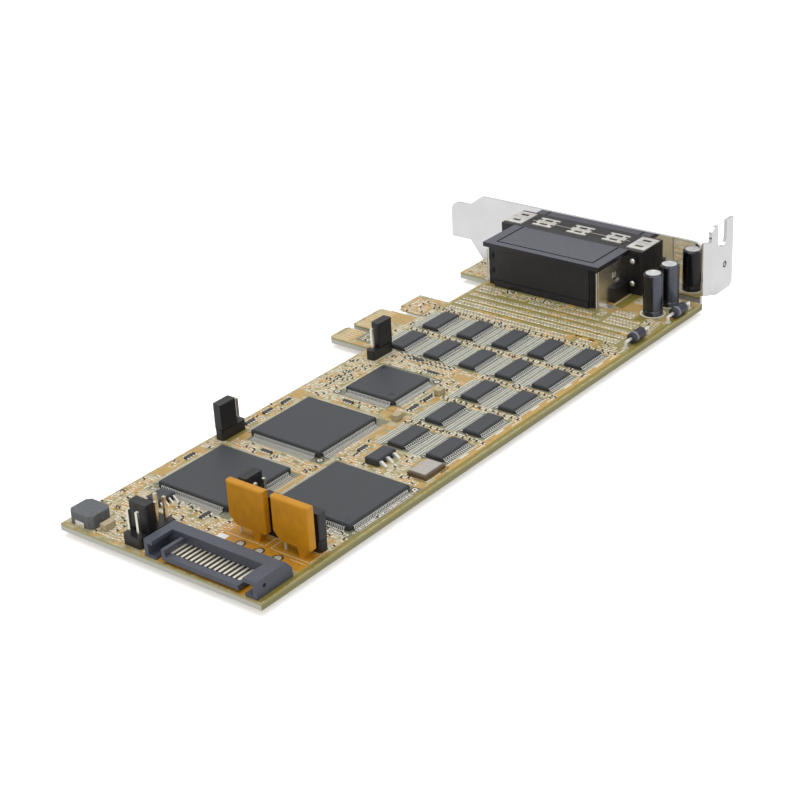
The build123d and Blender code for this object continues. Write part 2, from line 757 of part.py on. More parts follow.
# Voltage regulator with three legs and a wide tab
regulator_middle = chip_standoff + regulator_height / 2
regulator_legs = [(-1, (i - 1) * regulator_leg_pitch, regulator_leg_width) for i in range(3)]
with BuildPart() as legs:
    for side, offset, width in regulator_legs + [(1, 0, regulator_tab_width)]:
        with BuildSketch(Plane.YZ.offset(offset - width / 2)):
            with Locations((side * regulator_width / 2, 0)):
                Polygon((0, regulator_middle - lead_sheet), (side * lead_foot, 0),
                        (side * regulator_leg_reach, 0), (side * regulator_leg_reach, lead_sheet),
                        (side * lead_foot, regulator_middle + lead_sheet),
                        (0, regulator_middle + lead_sheet), align=None)
        extrude(amount=width)
regulator_body = moulded_body(regulator_length, regulator_width, regulator_height)
finish(placed([regulator_body, legs.part], regulator_place), "regulator")

# Small eight-lead chip
driver_body = moulded_body(driver_length, driver_width, driver_height)
driver_leads = sloping_leads(driver_width, driver_height, driver_lead_count, driver_lead_pitch,
                             driver_lead_width)
finish(placed([driver_body, driver_leads], driver_place), "driver_chip")

# Oscillator: a ceramic base with a metal lid
with BuildPart() as oscillator:
    with Locations((*on_board(crystal_place), top)):
        Box(crystal_length, crystal_width, crystal_base_height, align=by_middle)
        with Locations((0, 0, crystal_base_height)):
            Box(crystal_length - 2 * crystal_lid_inset, crystal_width - 2 * crystal_lid_inset,
                crystal_lid_height,
                align=by_middle)
finish(oscillator.part, "oscillator")

# Inductor block with a solder clip low on two opposite sides
inductor_x, inductor_y = on_board(inductor_place)
with BuildPart() as inductor:
    with BuildSketch(Plane.XY.offset(top)) as outline:
        with Locations((inductor_x, inductor_y)):
            Rectangle(inductor_length - 2 * inductor_clip_sheet, inductor_width)
        chamfer(outline.vertices(), inductor_corner)
    extrude(amount=inductor_height)
    with Locations((inductor_x, inductor_y, top)):
        Box(inductor_length, inductor_clip_width, inductor_clip_height, align=by_middle)
finish(inductor.part, "inductor")

# Upright capacitors: a sleeved can with a pinched groove, a sunk lid and two wires through the board
for name, place in can_places.items():
    x0, y0 = on_board(place)
    with BuildPart() as can:
        with BuildSketch(Plane.XZ.offset(-y0)):
            with Locations((x0, top)):
                Polygon((0, 0), (can_radius, 0), (can_radius, can_groove_rise - can_groove_width / 2),
                        (can_radius - can_groove_depth, can_groove_rise),
                        (can_radius, can_groove_rise + can_groove_width / 2),
                        (can_radius, can_height - can_shoulder), (can_radius - can_shoulder, can_height),
                        (can_lid_radius, can_height), (can_lid_radius, can_height - can_lid_sink),
                        (0, can_height - can_lid_sink), align=None)
        revolve(axis=Axis((x0, y0, 0), (0, 0, 1)))
        with BuildSketch(Plane.XY.offset(-pin_tail)):
            with Locations((x0 - can_lead_pitch / 2, y0), (x0 + can_lead_pitch / 2, y0)):
                RegularPolygon(can_lead_radius, 8)
        extrude(amount=pin_tail + top + can_shoulder)
    finish(can.part, name)

# Axial diodes lying along the board, their wires bent down through it
for name, place in diode_places.items():
    x0, y0 = on_board(place)
    axis_height = top + diode_axis_rise
    with BuildPart() as diode:
        with BuildLine() as wire:
            Polyline((x0 - diode_lead_span / 2, y0, -pin_tail), (x0 - diode_lead_span / 2, y0, axis_height),
                     (x0 + diode_lead_span / 2, y0, axis_height), (x0 + diode_lead_span / 2, y0, -pin_tail))
        with BuildSketch(Plane.XY.offset(-pin_tail)):
            with Locations((x0 - diode_lead_span / 2, y0)):
                RegularPolygon(diode_wire_radius, 8)
        sweep(path=wire.line, transition=Transition.RIGHT)
        with BuildSketch(Plane.XZ.offset(-y0)):
            with Locations((x0, axis_height)):
                Polygon((-diode_length / 2, 0), (-diode_length / 2, diode_radius - diode_edge),
                        (-diode_length / 2 + diode_edge, diode_radius),
                        (diode_length / 2 - diode_edge, diode_radius),
                        (diode_length / 2, diode_radius - diode_edge), (diode_length / 2, 0), align=None)
        revolve(axis=Axis((x0, y0, axis_height), (1, 0, 0)))
    finish(diode.part, name)

# Resettable fuses: flat coated blocks standing on two wires, the coating running down one of them
fuse_side = fuse_width / 2
leg_middle = -fuse_lead_pitch / 2
fuse_rounded_from = top + fuse_bottom + fuse_corner
for name, place in fuse_places.items():
    x0, y0 = on_board(place)
    with BuildPart() as fuse:
        with BuildSketch(Plane.YZ.offset(x0 - fuse_thickness / 2)) as face:
            with Locations((y0, top)):
                Polygon((-fuse_side, fuse_bottom), (leg_middle - fuse_leg_width / 2, fuse_bottom),
                        (leg_middle - fuse_leg_width / 4, 0), (leg_middle + fuse_leg_width / 4, 0),
                        (leg_middle + fuse_leg_width / 2, fuse_bottom),
                        (fuse_side - fuse_corner, fuse_bottom), (fuse_side, fuse_bottom + fuse_corner),
                        (fuse_side, fuse_top), (-fuse_side, fuse_top), align=None)
            fillet([v for v in face.vertices() if v.Z > top + fuse_top - near_enough], fuse_round)
        extrude(amount=fuse_thickness)
        broad = fuse.faces().sort_by(Axis.X)
        rims = [e for f in (broad[0], broad[-1]) for e in f.edges() if e.center().Z > fuse_rounded_from]
        fillet(rims, fuse_edge)
        with BuildSketch(Plane.XY.offset(-pin_tail)):
            with Locations((x0, y0 - fuse_lead_pitch / 2), (x0, y0 + fuse_lead_pitch / 2)):
                RegularPolygon(fuse_lead_radius, 8)
        extrude(amount=pin_tail + fuse_rounded_from)
    finish(fuse.part, name)
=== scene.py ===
# %% [markdown]
# # Serial port card: looks
# The card is a long circuit board that lies flat, with chips in rows, a two-deck port connector and a
# bright bracket at its far end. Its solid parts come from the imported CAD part, which is the fixed frame
# here: they are never moved or reshaped. This lesson gives them materials, adds what is too fine for
# the CAD part, and sets up the floor, the light and the camera.

# %% Load the frame
import json
import math
import random

import bmesh
import bpy
from mathutils import Matrix, Vector


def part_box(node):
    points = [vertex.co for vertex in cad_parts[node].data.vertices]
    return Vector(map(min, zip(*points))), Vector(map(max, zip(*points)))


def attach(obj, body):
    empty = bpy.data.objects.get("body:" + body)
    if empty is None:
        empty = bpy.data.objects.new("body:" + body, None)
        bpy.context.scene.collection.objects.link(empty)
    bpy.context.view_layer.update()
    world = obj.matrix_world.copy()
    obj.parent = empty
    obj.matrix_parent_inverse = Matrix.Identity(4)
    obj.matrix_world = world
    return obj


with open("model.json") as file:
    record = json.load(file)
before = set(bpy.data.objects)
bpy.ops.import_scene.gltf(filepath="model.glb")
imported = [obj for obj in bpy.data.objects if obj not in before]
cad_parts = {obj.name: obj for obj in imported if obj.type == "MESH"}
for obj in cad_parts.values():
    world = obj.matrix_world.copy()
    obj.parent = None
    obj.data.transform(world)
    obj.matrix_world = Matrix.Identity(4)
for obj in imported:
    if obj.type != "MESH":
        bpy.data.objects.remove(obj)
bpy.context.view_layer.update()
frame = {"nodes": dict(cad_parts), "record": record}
nodes = frame["nodes"]
MM = 0.001
print("loaded", len(nodes), "CAD nodes")

# %% [markdown]
# Places on the board are counted in millimetres from its near right corner: `along` towards the
# bracket and `across` towards the gold contacts. Places in the frame would do as well, but places from
# a corner of the board can be measured on a real card. The smallest parts are scattered by chance, and a
# fixed seed gives the same board each time.

# %% Board coordinates
ALONG0, ACROSS0 = -110.1, -68.9
TOP = 1.6
random.seed(7)


def spot(along, across, height=0.0):
    """A point in the frame, in metres, from a place on the board and a height above it."""
    return Vector(((ALONG0 + along) * MM, (ACROSS0 + across) * MM, (TOP + height) * MM))


def placed(along, across, height, size, turn=0.0):
    """A matrix that puts a unit shape at a place on the board with the given size in millimetres."""
    scale = Matrix.Diagonal((size[0] * MM, size[1] * MM, size[2] * MM, 1.0))
    return Matrix.Translation(spot(along, across, height)) @ Matrix.Rotation(turn, 4, "Z") @ scale


print("near right corner at", tuple(round(v, 4) for v in spot(0, 0)))

# %% [markdown]
# All the finishes below are small node trees with the same few steps in them: turn one span of numbers
# into another, go from one colour to another, and link sockets. Three helpers say these steps in words.
# A Mix node has sockets for every kind of value, so its colours are reached by their index.

# %% Node helpers
COLOUR_A, COLOUR_B, COLOUR_OUT = 6, 7, 2


def value_range(tree, from_min=0.0, from_max=1.0, to_min=0.0, to_max=1.0):
    """A node that turns one span of numbers into another."""
    node = tree.nodes.new("ShaderNodeMapRange")
    limits = {"From Min": from_min, "From Max": from_max, "To Min": to_min, "To Max": to_max}
    for socket, value in limits.items():
        node.inputs[socket].default_value = value
    return node


def colour_mix(tree, first=None, second=None):
    """A node that goes from the first colour to the second as its factor rises from 0 to 1."""
    node = tree.nodes.new("ShaderNodeMix")
    node.data_type = "RGBA"
    for socket, colour in ((COLOUR_A, first), (COLOUR_B, second)):
        if colour:
            node.inputs[socket].default_value = (*colour, 1.0)
    return node


def join(tree, *pairs):
    """Links each pair of an output and an input."""
    for output, socket in pairs:
        tree.links.new(output, socket)


print("ready to build node trees")

# %% [markdown]
# No moulding, plating or lacquer is one flat colour. Each could have a noise of its own, but then every
# material would repeat the same nodes, so one group holds the grain that they share: it shifts the
# colour it is given a little to both sides, and gives out a height for a bump.

# %% Grain group
grain = bpy.data.node_groups.new("grain", "ShaderNodeTree")
for socket, kind in (("Color", "Color"), ("Scale", "Float"), ("Strength", "Float")):
    grain.interface.new_socket(socket, in_out="INPUT", socket_type=f"NodeSocket{kind}")
for socket, kind in (("Color", "Color"), ("Height", "Float")):
    grain.interface.new_socket(socket, in_out="OUTPUT", socket_type=f"NodeSocket{kind}")
given = grain.nodes.new("NodeGroupInput")
result = grain.nodes.new("NodeGroupOutput")
coords = grain.nodes.new("ShaderNodeTexCoord")
noise = grain.nodes.new("ShaderNodeTexNoise")
noise.inputs["Detail"].default_value = 4.0
shade = value_range(grain, 0.3, 0.7)
for operation, limit in (("SUBTRACT", "To Min"), ("ADD", "To Max")):
    around_one = grain.nodes.new("ShaderNodeMath")
    around_one.operation = operation
    around_one.inputs[0].default_value = 1.0
    join(grain, (given.outputs["Strength"], around_one.inputs[1]),
         (around_one.outputs[0], shade.inputs[limit]))
speckled = colour_mix(grain)
speckled.blend_type = "MULTIPLY"
speckled.inputs["Factor"].default_value = 1.0
join(grain,
     (coords.outputs["Object"], noise.inputs["Vector"]), (given.outputs["Scale"], noise.inputs["Scale"]),
     (noise.outputs["Fac"], shade.inputs["Value"]), (given.outputs["Color"], speckled.inputs[COLOUR_A]),
     (shade.outputs["Result"], speckled.inputs[COLOUR_B]),
     (speckled.outputs[COLOUR_OUT], result.inputs["Color"]), (noise.outputs["Fac"], result.inputs["Height"]))
print("made the grain group")

# %% [markdown]
# A finish is then a line of numbers: colour, roughness, metal or not, and how fine and strong its grain
# is. `surface` makes the material from them. The shader stays in the material itself, and plain numbers
# sit on its own sockets, so that the exported model keeps them.

# %% Material maker
BUMP_DEPTH = 0.05 * MM
MATERIALS = {}


def new_material(name):
    material = bpy.data.materials.new(name)
    material.use_nodes = True
    MATERIALS[name] = material
    return material.node_tree, material.node_tree.nodes["Principled BSDF"]


def grain_node(tree, scale, strength, colour=None):
    """The grain group placed in a material with its own values."""
    node = tree.nodes.new("ShaderNodeGroup")
    node.node_tree = grain
    node.inputs["Scale"].default_value = scale
    node.inputs["Strength"].default_value = strength
    if colour:
        node.inputs["Color"].default_value = (*colour, 1.0)
    return node


def add_relief(tree, shader, detail, strength):
    """A bump from the grain, which breaks up the gloss as on a real surface."""
    relief = tree.nodes.new("ShaderNodeBump")
    relief.inputs["Strength"].default_value = strength
    relief.inputs["Distance"].default_value = BUMP_DEPTH
    join(tree, (detail.outputs["Height"], relief.inputs["Height"]),
         (relief.outputs["Normal"], shader.inputs["Normal"]))


def surface(name, colour, roughness, metallic, scale, strength, bump, coat=0.0):
    tree, shader = new_material(name)
    shader.inputs["Roughness"].default_value = roughness
    shader.inputs["Metallic"].default_value = metallic
    shader.inputs["Coat Weight"].default_value = coat
    shader.inputs["Coat Roughness"].default_value = 0.15
    detail = grain_node(tree, scale, strength, colour)
    add_relief(tree, shader, detail, bump)
    join(tree, (detail.outputs["Color"], shader.inputs["Base Color"]))


def make_finishes(table):
    for name, values in table.items():
        surface(name, *values)
    print("made", ", ".join(table))


# %% [markdown]
# Metals: gold on the contacts, tin on clips, shells and leads, and solder, which is duller where it has
# flowed by hand. A full mirror finish would pick up so much of the white room that warm plating turns
# grey, so gold and the clips are mixed from a part of metal and a part of paint.

# %% Metal finishes
make_finishes({
    # colour, roughness, metallic, grain scale, grain strength, bump
    "gold_plating": ((0.78, 0.62, 0.36), 0.35, 0.6, 700, 0.10, 0.05),
    "plated_metal": ((0.74, 0.71, 0.63), 0.28, 1.0, 800, 0.10, 0.10),
    "clip_metal": ((0.88, 0.86, 0.80), 0.38, 0.7, 800, 0.10, 0.10),
    "pin_metal": ((0.88, 0.83, 0.70), 0.25, 1.0, 900, 0.08, 0.05),
    "solder": ((0.86, 0.86, 0.83), 0.38, 0.6, 1200, 0.12, 0.30),
    "solder_dull": ((0.56, 0.53, 0.44), 0.50, 0.2, 1200, 0.14, 0.30),
    "lead_bright": ((0.93, 0.93, 0.89), 0.45, 0.1, 1200, 0.06, 0.10),
    "contact_cream": ((0.84, 0.77, 0.62), 0.35, 0.5, 900, 0.08, 0.05),
    "can_top": ((0.85, 0.85, 0.84), 0.30, 0.8, 900, 0.10, 0.10),
    "lid_grey": ((0.52, 0.48, 0.44), 0.40, 0.3, 900, 0.08, 0.10),
})

# %% [markdown]
# Mouldings, sleeves and bodies. Blacks on such a card differ: headers are deep black, chips are a dull
# charcoal, the cover is bluish and its roof gets painted light, a lighter copy of its plastic where the top
# catches the lamps, and the can sleeves are glossy film, so they get a thin clear coat. The near black
# finish under fine leads is painted shade.

# %% Plastics, sleeves and bodies
make_finishes({
    "black_plastic": ((0.012, 0.012, 0.014), 0.40, 0.0, 2200, 0.20, 0.25),
    "cover_plastic": ((0.020, 0.021, 0.029), 0.32, 0.0, 1600, 0.20, 0.10),
    # painted light: a lighter copy of the cover plastic for the roof that catches the lamps
    "cover_roof_painted_light": ((0.085, 0.087, 0.112), 0.38, 0.0, 1600, 0.14, 0.10),
    "chip_plastic": ((0.040, 0.043, 0.050), 0.48, 0.0, 3000, 0.16, 0.20),
    "slate_plastic": ((0.075, 0.082, 0.110), 0.45, 0.0, 1800, 0.15, 0.20),
    "sleeve": ((0.004, 0.005, 0.010), 0.20, 0.0, 900, 0.15, 0.03, 0.15),
    "sleeve_stripe": ((0.085, 0.098, 0.135), 0.24, 0.0, 900, 0.12, 0.03, 0.15),
    "diode_black": ((0.030, 0.030, 0.048), 0.33, 0.0, 1500, 0.15, 0.10),
    "diode_band": ((0.25, 0.25, 0.30), 0.35, 0.0, 1500, 0.12, 0.10),
    "ochre_coating": ((0.62, 0.27, 0.002), 0.52, 0.0, 420, 0.10, 0.30),
    "grey_ferrite": ((0.12, 0.13, 0.14), 0.60, 0.0, 1500, 0.20, 0.40),
    # dark bodies of small parts, and the dark dots of painted shade in holes
    "dark_body": ((0.040, 0.036, 0.030), 0.40, 0.0, 1500, 0.15, 0.10),
    "brown_body": ((0.13, 0.085, 0.045), 0.45, 0.0, 1500, 0.15, 0.10),
    "beige_resin": ((0.50, 0.42, 0.26), 0.50, 0.0, 1500, 0.12, 0.10),
    # painted shade for the gaps between and under fine leads
    "painted_lead_shade": ((0.014, 0.013, 0.010), 0.55, 0.0, 1500, 0.15, 0.10),
    "deep_black": ((0.004, 0.004, 0.004), 0.60, 0.0, 1500, 0.15, 0.05),
})

# %% [markdown]
# What lies flat on the board: solder mask, which is a clear yellowish lacquer and so takes its colour
# from what is under it, pale tracks, tinned pads and white print. They are plain fields of colour here,
# because each one is a thin piece of its own and needs no pattern.

# %% Mask, pads and print
make_finishes({
    "mask_khaki": ((0.33, 0.28, 0.10), 0.42, 0.0, 1400, 0.14, 0.10),
    "mask_amber": ((0.54, 0.35, 0.12), 0.40, 0.0, 1400, 0.12, 0.10),
    "mask_deep": ((0.58, 0.28, 0.020), 0.40, 0.0, 1400, 0.12, 0.10),
    "mask_orange": ((0.62, 0.36, 0.075), 0.40, 0.0, 1400, 0.12, 0.10),
    "mask_olive": ((0.27, 0.225, 0.045), 0.42, 0.0, 1400, 0.14, 0.10),
    "mask_grey": ((0.225, 0.225, 0.150), 0.42, 0.0, 1600, 0.12, 0.10),
    "track_pale": ((0.68, 0.69, 0.62), 0.42, 0.0, 1600, 0.12, 0.10),
    "pad_cream": ((0.87, 0.82, 0.70), 0.45, 0.1, 3000, 0.16, 0.20),
    "pad_pink": ((0.78, 0.63, 0.47), 0.50, 0.0, 3000, 0.16, 0.15),
    "silk_white": ((0.82, 0.79, 0.66), 0.60, 0.0, 3500, 0.14, 0.05),
})

# %% [markdown]
# The board is a glass-fibre laminate. Its faces are mottled: amber where the laminate shows through the
# mask, khaki and a paler khaki where copper lies beneath. Drawing all that copper would take a real
# layout, so square cells of a Voronoi texture, a millimetre or so wide, pick one of the three colours.

# %% Board faces
board_tree, board_shader = new_material("board_laminate")
board_shader.inputs["Roughness"].default_value = 0.38
board_shader.inputs["Coat Weight"].default_value = 0.15
board_shader.inputs["Coat Roughness"].default_value = 0.2
board_coords = board_tree.nodes.new("ShaderNodeTexCoord")
copper = board_tree.nodes.new("ShaderNodeTexVoronoi")
copper.distance = "CHEBYCHEV"
copper.inputs["Scale"].default_value = 750.0
cell_value = board_tree.nodes.new("ShaderNodeSeparateColor")
mottle = board_tree.nodes.new("ShaderNodeValToRGB")
mottle.color_ramp.interpolation = "CONSTANT"
mottle.color_ramp.elements[0].color = (0.56, 0.34, 0.10, 1.0)
mottle.color_ramp.elements[1].position = 0.36
mottle.color_ramp.elements[1].color = (0.38, 0.34, 0.16, 1.0)
mottle.color_ramp.elements.new(0.66).color = (0.54, 0.47, 0.28, 1.0)
weave = grain_node(board_tree, 1500.0, 0.16)
join(board_tree,
     (board_coords.outputs["Object"], copper.inputs["Vector"]),
     (copper.outputs["Color"], cell_value.inputs["Color"]),
     (cell_value.outputs["Red"], mottle.inputs["Fac"]),
     (mottle.outputs["Color"], weave.inputs["Color"]))
add_relief(board_tree, board_shader, weave, 0.1)
print("mottled the board's faces")

# %% [markdown]
# The cut edges show the layers: bare laminate below, and an olive rim of lacquer along the top. The long
# edges are darker and the end is greyer. The face's own normal tells an edge from a face and an end from
# a long side, and the height on the object tells where the rim starts.

# %% Board edges
facing = board_tree.nodes.new("ShaderNodeNewGeometry")
facing_axes = board_tree.nodes.new("ShaderNodeSeparateXYZ")
place_axes = board_tree.nodes.new("ShaderNodeSeparateXYZ")
rim = value_range(board_tree, 1.05 * MM, 1.20 * MM)
long_edge = colour_mix(board_tree, (0.25, 0.225, 0.085), (0.37, 0.34, 0.10))
end_edge = colour_mix(board_tree, (0.56, 0.55, 0.48), (0.38, 0.36, 0.14))
any_edge, whole_board = colour_mix(board_tree), colour_mix(board_tree)
join(board_tree,
     (facing.outputs["True Normal"], facing_axes.inputs["Vector"]),
     (board_coords.outputs["Object"], place_axes.inputs["Vector"]),
     (place_axes.outputs["Z"], rim.inputs["Value"]))
for axis, mix in (("X", any_edge), ("Z", whole_board)):
    size = board_tree.nodes.new("ShaderNodeMath")
    size.operation = "ABSOLUTE"
    join(board_tree, (facing_axes.outputs[axis], size.inputs[0]), (size.outputs[0], mix.inputs["Factor"]))
for edge, socket in ((long_edge, COLOUR_A), (end_edge, COLOUR_B)):
    join(board_tree, (rim.outputs["Result"], edge.inputs["Factor"]),
         (edge.outputs[COLOUR_OUT], any_edge.inputs[socket]))
join(board_tree,
     (any_edge.outputs[COLOUR_OUT], whole_board.inputs[COLOUR_A]),
     (weave.outputs["Color"], whole_board.inputs[COLOUR_B]),
     (whole_board.outputs[COLOUR_OUT], board_shader.inputs["Base Color"]))
print("layered the board's edges")

# %% [markdown]
# The bracket is plated sheet steel and close to a mirror, with faint marks from rolling along its
# length. A scratch texture would be too strong, so a noise that is stretched along the sheet only
# changes the roughness, and reflections of the card blur a little unevenly.

# %% Bracket material
steel_tree, steel_shader = new_material("bright_steel")
steel_shader.inputs["Metallic"].default_value = 1.0
steel_coords = steel_tree.nodes.new("ShaderNodeTexCoord")
stretch = steel_tree.nodes.new("ShaderNodeMapping")
stretch.inputs["Scale"].default_value = (1.0, 0.08, 1.0)
rolling = steel_tree.nodes.new("ShaderNodeTexNoise")
rolling.inputs["Scale"].default_value = 1800.0
rolling.inputs["Detail"].default_value = 5.0
gloss = value_range(steel_tree, to_min=0.03, to_max=0.08)
tint = grain_node(steel_tree, 200.0, 0.03, (0.80, 0.79, 0.80))
join(steel_tree,
     (steel_coords.outputs["Object"], stretch.inputs["Vector"]),
     (stretch.outputs["Vector"], rolling.inputs["Vector"]),
     (rolling.outputs["Fac"], gloss.inputs["Value"]),
     (gloss.outputs["Result"], steel_shader.inputs["Roughness"]),
     (tint.outputs["Color"], steel_shader.inputs["Base Color"]))
print("made the bracket material")

# %% [markdown]
# The CAD part names a finish for each node, and most finishes here have the same name. The clips and the
# power contacts are plated more brightly than the rest of the metal, so they get their own.

# %% Materials on the CAD nodes
RENAMED = {"capacitor_sleeve": "sleeve", "diode_body": "diode_black"}
OWN_FINISH = {"end_clips": "clip_metal", "middle_clips": "clip_metal", "power_contacts": "contact_cream"}
slots = {entry["node"]: entry["material_slot"] for entry in frame["record"]["subparts"]}
for name, node in nodes.items():
    finish = OWN_FINISH.get(name, RENAMED.get(slots[name], slots[name]))
    node.data.materials.clear()
    node.data.materials.append(MATERIALS[finish])
print("gave finishes to", len(nodes), "nodes")

# %% [markdown]
# A CAD node is one mesh with one material, while its real part is often a body with metal ends, a sleeve
# with a bare lid, or wires out of a coating. Splitting the mesh would change the CAD part, so its faces
# get another material instead, by a test on where a face's centre `c` lies. `m` is the middle of the
# node, both in millimetres.

# %% Faces with a material of their own
def off_axis(c, m):
    return math.hypot(c.x - m.x, c.y - m.y)


def on_stripe(c, m):
    """True on the pale stripe down the side of a can's sleeve."""
    return abs(math.degrees(math.atan2(c.y - m.y, c.x - m.x)) + 122) < 25 and off_axis(c, m) > 2.2


OWN_FACES = [
    ("driver_chip", "solder", lambda c, m: abs(c.y - m.y) > 1.96),
    ("regulator", "solder", lambda c, m: abs(c.y - m.y) > 1.76),
    ("capacitor", "sleeve_stripe", on_stripe),
    ("capacitor", "can_top", lambda c, m: c.z > TOP + 10.7 and off_axis(c, m) < 1.95 or c.z < TOP - 0.05),
    ("diode", "solder", lambda c, m: abs(c.x - m.x) > 2.62),
    ("fuse", "solder", lambda c, m: c.z < TOP + 2.05 and c.y > m.y + 1.0 or c.z < TOP - 0.05),
    ("oscillator", "lid_grey", lambda c, m: c.z > TOP + 1.0),
    ("oscillator", "brown_body", lambda c, m: c.z < TOP + 0.9),
    # the roof faces of the cover get painted light, a lighter copy of its plastic
    ("host_cover", "cover_roof_painted_light", lambda c, m: c.z > 13.5),
    ("inductor", "solder", lambda c, m: abs(c.x - m.x) > 3.1 and c.z < TOP + 1.4),
    ("jackscrews", "deep_black", lambda c, m: c.x < ALONG0 + 164.2),
    ("ground_plate_right", "can_top", lambda c, m: c.z < TOP + 0.35 and c.y < ACROSS0 + 20.2),
]
painted = 0
for start, finish, wanted in OWN_FACES:
    for name in [name for name in nodes if name.startswith(start)]:
        low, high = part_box(name)
        middle = (low + high) / 2 / MM
        mesh = nodes[name].data
        mesh.materials.append(MATERIALS[finish])
        for polygon in mesh.polygons:
            if wanted(polygon.center / MM, middle):
                polygon.material_index = len(mesh.materials) - 1
                painted += 1
print("gave another finish to", painted, "faces")

# %% [markdown]
# Small pieces are built with bmesh operators. Hundreds of separate objects would be slow and hard to
# keep in order, so one mesh holds all pieces of a kind, in place, and rides the body. Plain boxes are
# enough for most: on a card this long each is a speck, and there are thousands of them.

# %% Piece maker
def new_piece(name, build, finish, bevel=0.0):
    mesh = bpy.data.meshes.new(name)
    bm = bmesh.new()
    build(bm)
    if bevel:
        bmesh.ops.bevel(bm, geom=bm.edges[:], offset=bevel * MM, segments=1, profile=0.5, affect="EDGES",
                        material=-1)
    bmesh.ops.recalc_face_normals(bm, faces=bm.faces[:])
    bm.to_mesh(mesh)
    bm.free()
    mesh.materials.append(MATERIALS[finish])
    piece = bpy.data.objects.new(name, mesh)
    bpy.context.scene.collection.objects.link(piece)
    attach(piece, "root")
    print("made", name, "with", len(mesh.polygons), "faces")


def block(bm, along, across, height, size, turn=0.0):
    """A box whose underside lies at the height, centred on the place."""
    bmesh.ops.create_cube(bm, size=1.0, matrix=placed(along, across, height + size[2] / 2, size, turn))


print("ready to build pieces")

# %% [markdown]
# The square chips have fine gull-wing leads on all four sides: 36 a side on the three large ones, 32 on
# the smaller bridge. Each of the sixteen transceivers has fourteen on both long sides. A lead leaves the
# body, drops and ends in a foot. Swept and bent leads would look rounder from very near, but there are
# about a thousand of them, so three boxes each are the better bargain.

# %% Gull-wing leads
LARGE_CHIPS = [(32.4, 39.4), (61.1, 38.7), (40.2, 13.0)]
BRIDGE = (86.9, 37.8)
COLUMNS = [68.9 + 13.6 * i for i in range(5)]
ROWS = [7.2 + 10.6 * j for j in range(5)]
TRANSCEIVERS = [(x, y) for i, x in enumerate(COLUMNS) for y in ROWS[:5 if i > 2 else 2]]
ALL_SIDES = [side * math.pi / 2 for side in range(4)]
LONG_SIDES = [-math.pi / 2, math.pi / 2]
LEAD_THICK, LEAD_LIFT = 0.13, 0.05


def beside(chip, turn, distance, count, pitch):
    """Places in a row beside a chip, on the side that the turn faces, and the way outwards."""
    out = Vector((math.cos(turn), math.sin(turn)))
    sideways = Vector((-out.y, out.x))
    for i in range(count):
        yield Vector(chip) + sideways * (i - (count - 1) / 2) * pitch + out * distance, out


def lead_row(bm, chip, turn, half, count, pitch, width, rise):
    for start, out in beside(chip, turn, half, count, pitch):
        shoulder, drop, foot = start + out * 0.15, start + out * 0.35, start + out * 0.68
        block(bm, shoulder.x, shoulder.y, rise, (0.4, width, LEAD_THICK), turn)
        block(bm, drop.x, drop.y, LEAD_LIFT, (LEAD_THICK, width, rise + LEAD_LIFT), turn)
        block(bm, foot.x, foot.y, LEAD_LIFT, (0.7, width, LEAD_THICK), turn)


def square_leads(bm):
    for chip in LARGE_CHIPS:
        for turn in ALL_SIDES:
            lead_row(bm, chip, turn, half=10.0, count=36, pitch=0.5, width=0.17, rise=0.75)
    for turn in ALL_SIDES:
        lead_row(bm, BRIDGE, turn, half=7.0, count=32, pitch=0.4, width=0.14, rise=0.7)


def thin_leads(bm):
    for chip in TRANSCEIVERS:
        for turn in LONG_SIDES:
            lead_row(bm, chip, turn, half=2.2, count=14, pitch=0.65, width=0.20, rise=0.45)


print("placed", len(LARGE_CHIPS) + 1, "square chips and", len(TRANSCEIVERS), "transceivers")

# %% [markdown]
# Every lead stands on a tinned pad that reaches out past its foot. The gaps between leads look black,
# because little light gets down there. A render with few samples would leave them grey, so a thin dark
# sheet of painted shade lies under each row.

# %% Pads and painted shade under the leads
# thickness of the sheets of painted shade under the leads
SHADE_SHEET_THICK = 0.028


def pad_row(bm, chip, turn, middle, count, pitch, width, length):
    for place, _ in beside(chip, turn, middle, count, pitch):
        block(bm, place.x, place.y, 0.02, (length, width, 0.03), turn)


def square_pads(bm):
    for chip in LARGE_CHIPS:
        for turn in ALL_SIDES:
            pad_row(bm, chip, turn, middle=11.15, count=36, pitch=0.5, width=0.19, length=1.5)
    for turn in ALL_SIDES:
        pad_row(bm, BRIDGE, turn, middle=8.1, count=32, pitch=0.4, width=0.16, length=1.4)


def thin_pads(bm):
    for chip in TRANSCEIVERS:
        for turn in LONG_SIDES:
            pad_row(bm, chip, turn, middle=3.15, count=14, pitch=0.65, width=0.22, length=1.3)


# Painted shade: thin dark sheets under the rows of leads, where little light gets down.
def painted_lead_shades(bm):
    shade_sheets = [(x, y, 10.0, 18.2, 1.9) for x, y in LARGE_CHIPS] + [(*BRIDGE, 7.0, 12.8, 1.7)]
    for x, y, half, length, depth in shade_sheets:
        for side in (-1, 1):
            middle = side * (half + depth / 2)
            block(bm, x, y + middle, 0.0, (length, depth, SHADE_SHEET_THICK))
            block(bm, x + middle, y, 0.0, (depth, length, SHADE_SHEET_THICK))
    for x, y in TRANSCEIVERS:
        for side in (-1, 1):
            block(bm, x, y + side * 2.95, 0.0, (9.1, 1.5, SHADE_SHEET_THICK))


new_piece("painted_lead_shades", painted_lead_shades, "painted_lead_shade")
new_piece("square_chip_leads", square_leads, "lead_bright")
new_piece("square_chip_pads", square_pads, "pad_cream")
new_piece("transceiver_leads", thin_leads, "lead_bright")
new_piece("transceiver_pads", thin_pads, "pad_cream")

# %% [markdown]
# Flat fields of mask: grey-green round the chips, khaki in front of the port connector, amber, deep
# amber and orange where the laminate shows, olive along the edge and between the pads. Each field is a
# very thin box given by two corners. The kinds are stacked in steps of a few thousandths of a millimetre,
# so that a later one covers an earlier one without flicker.

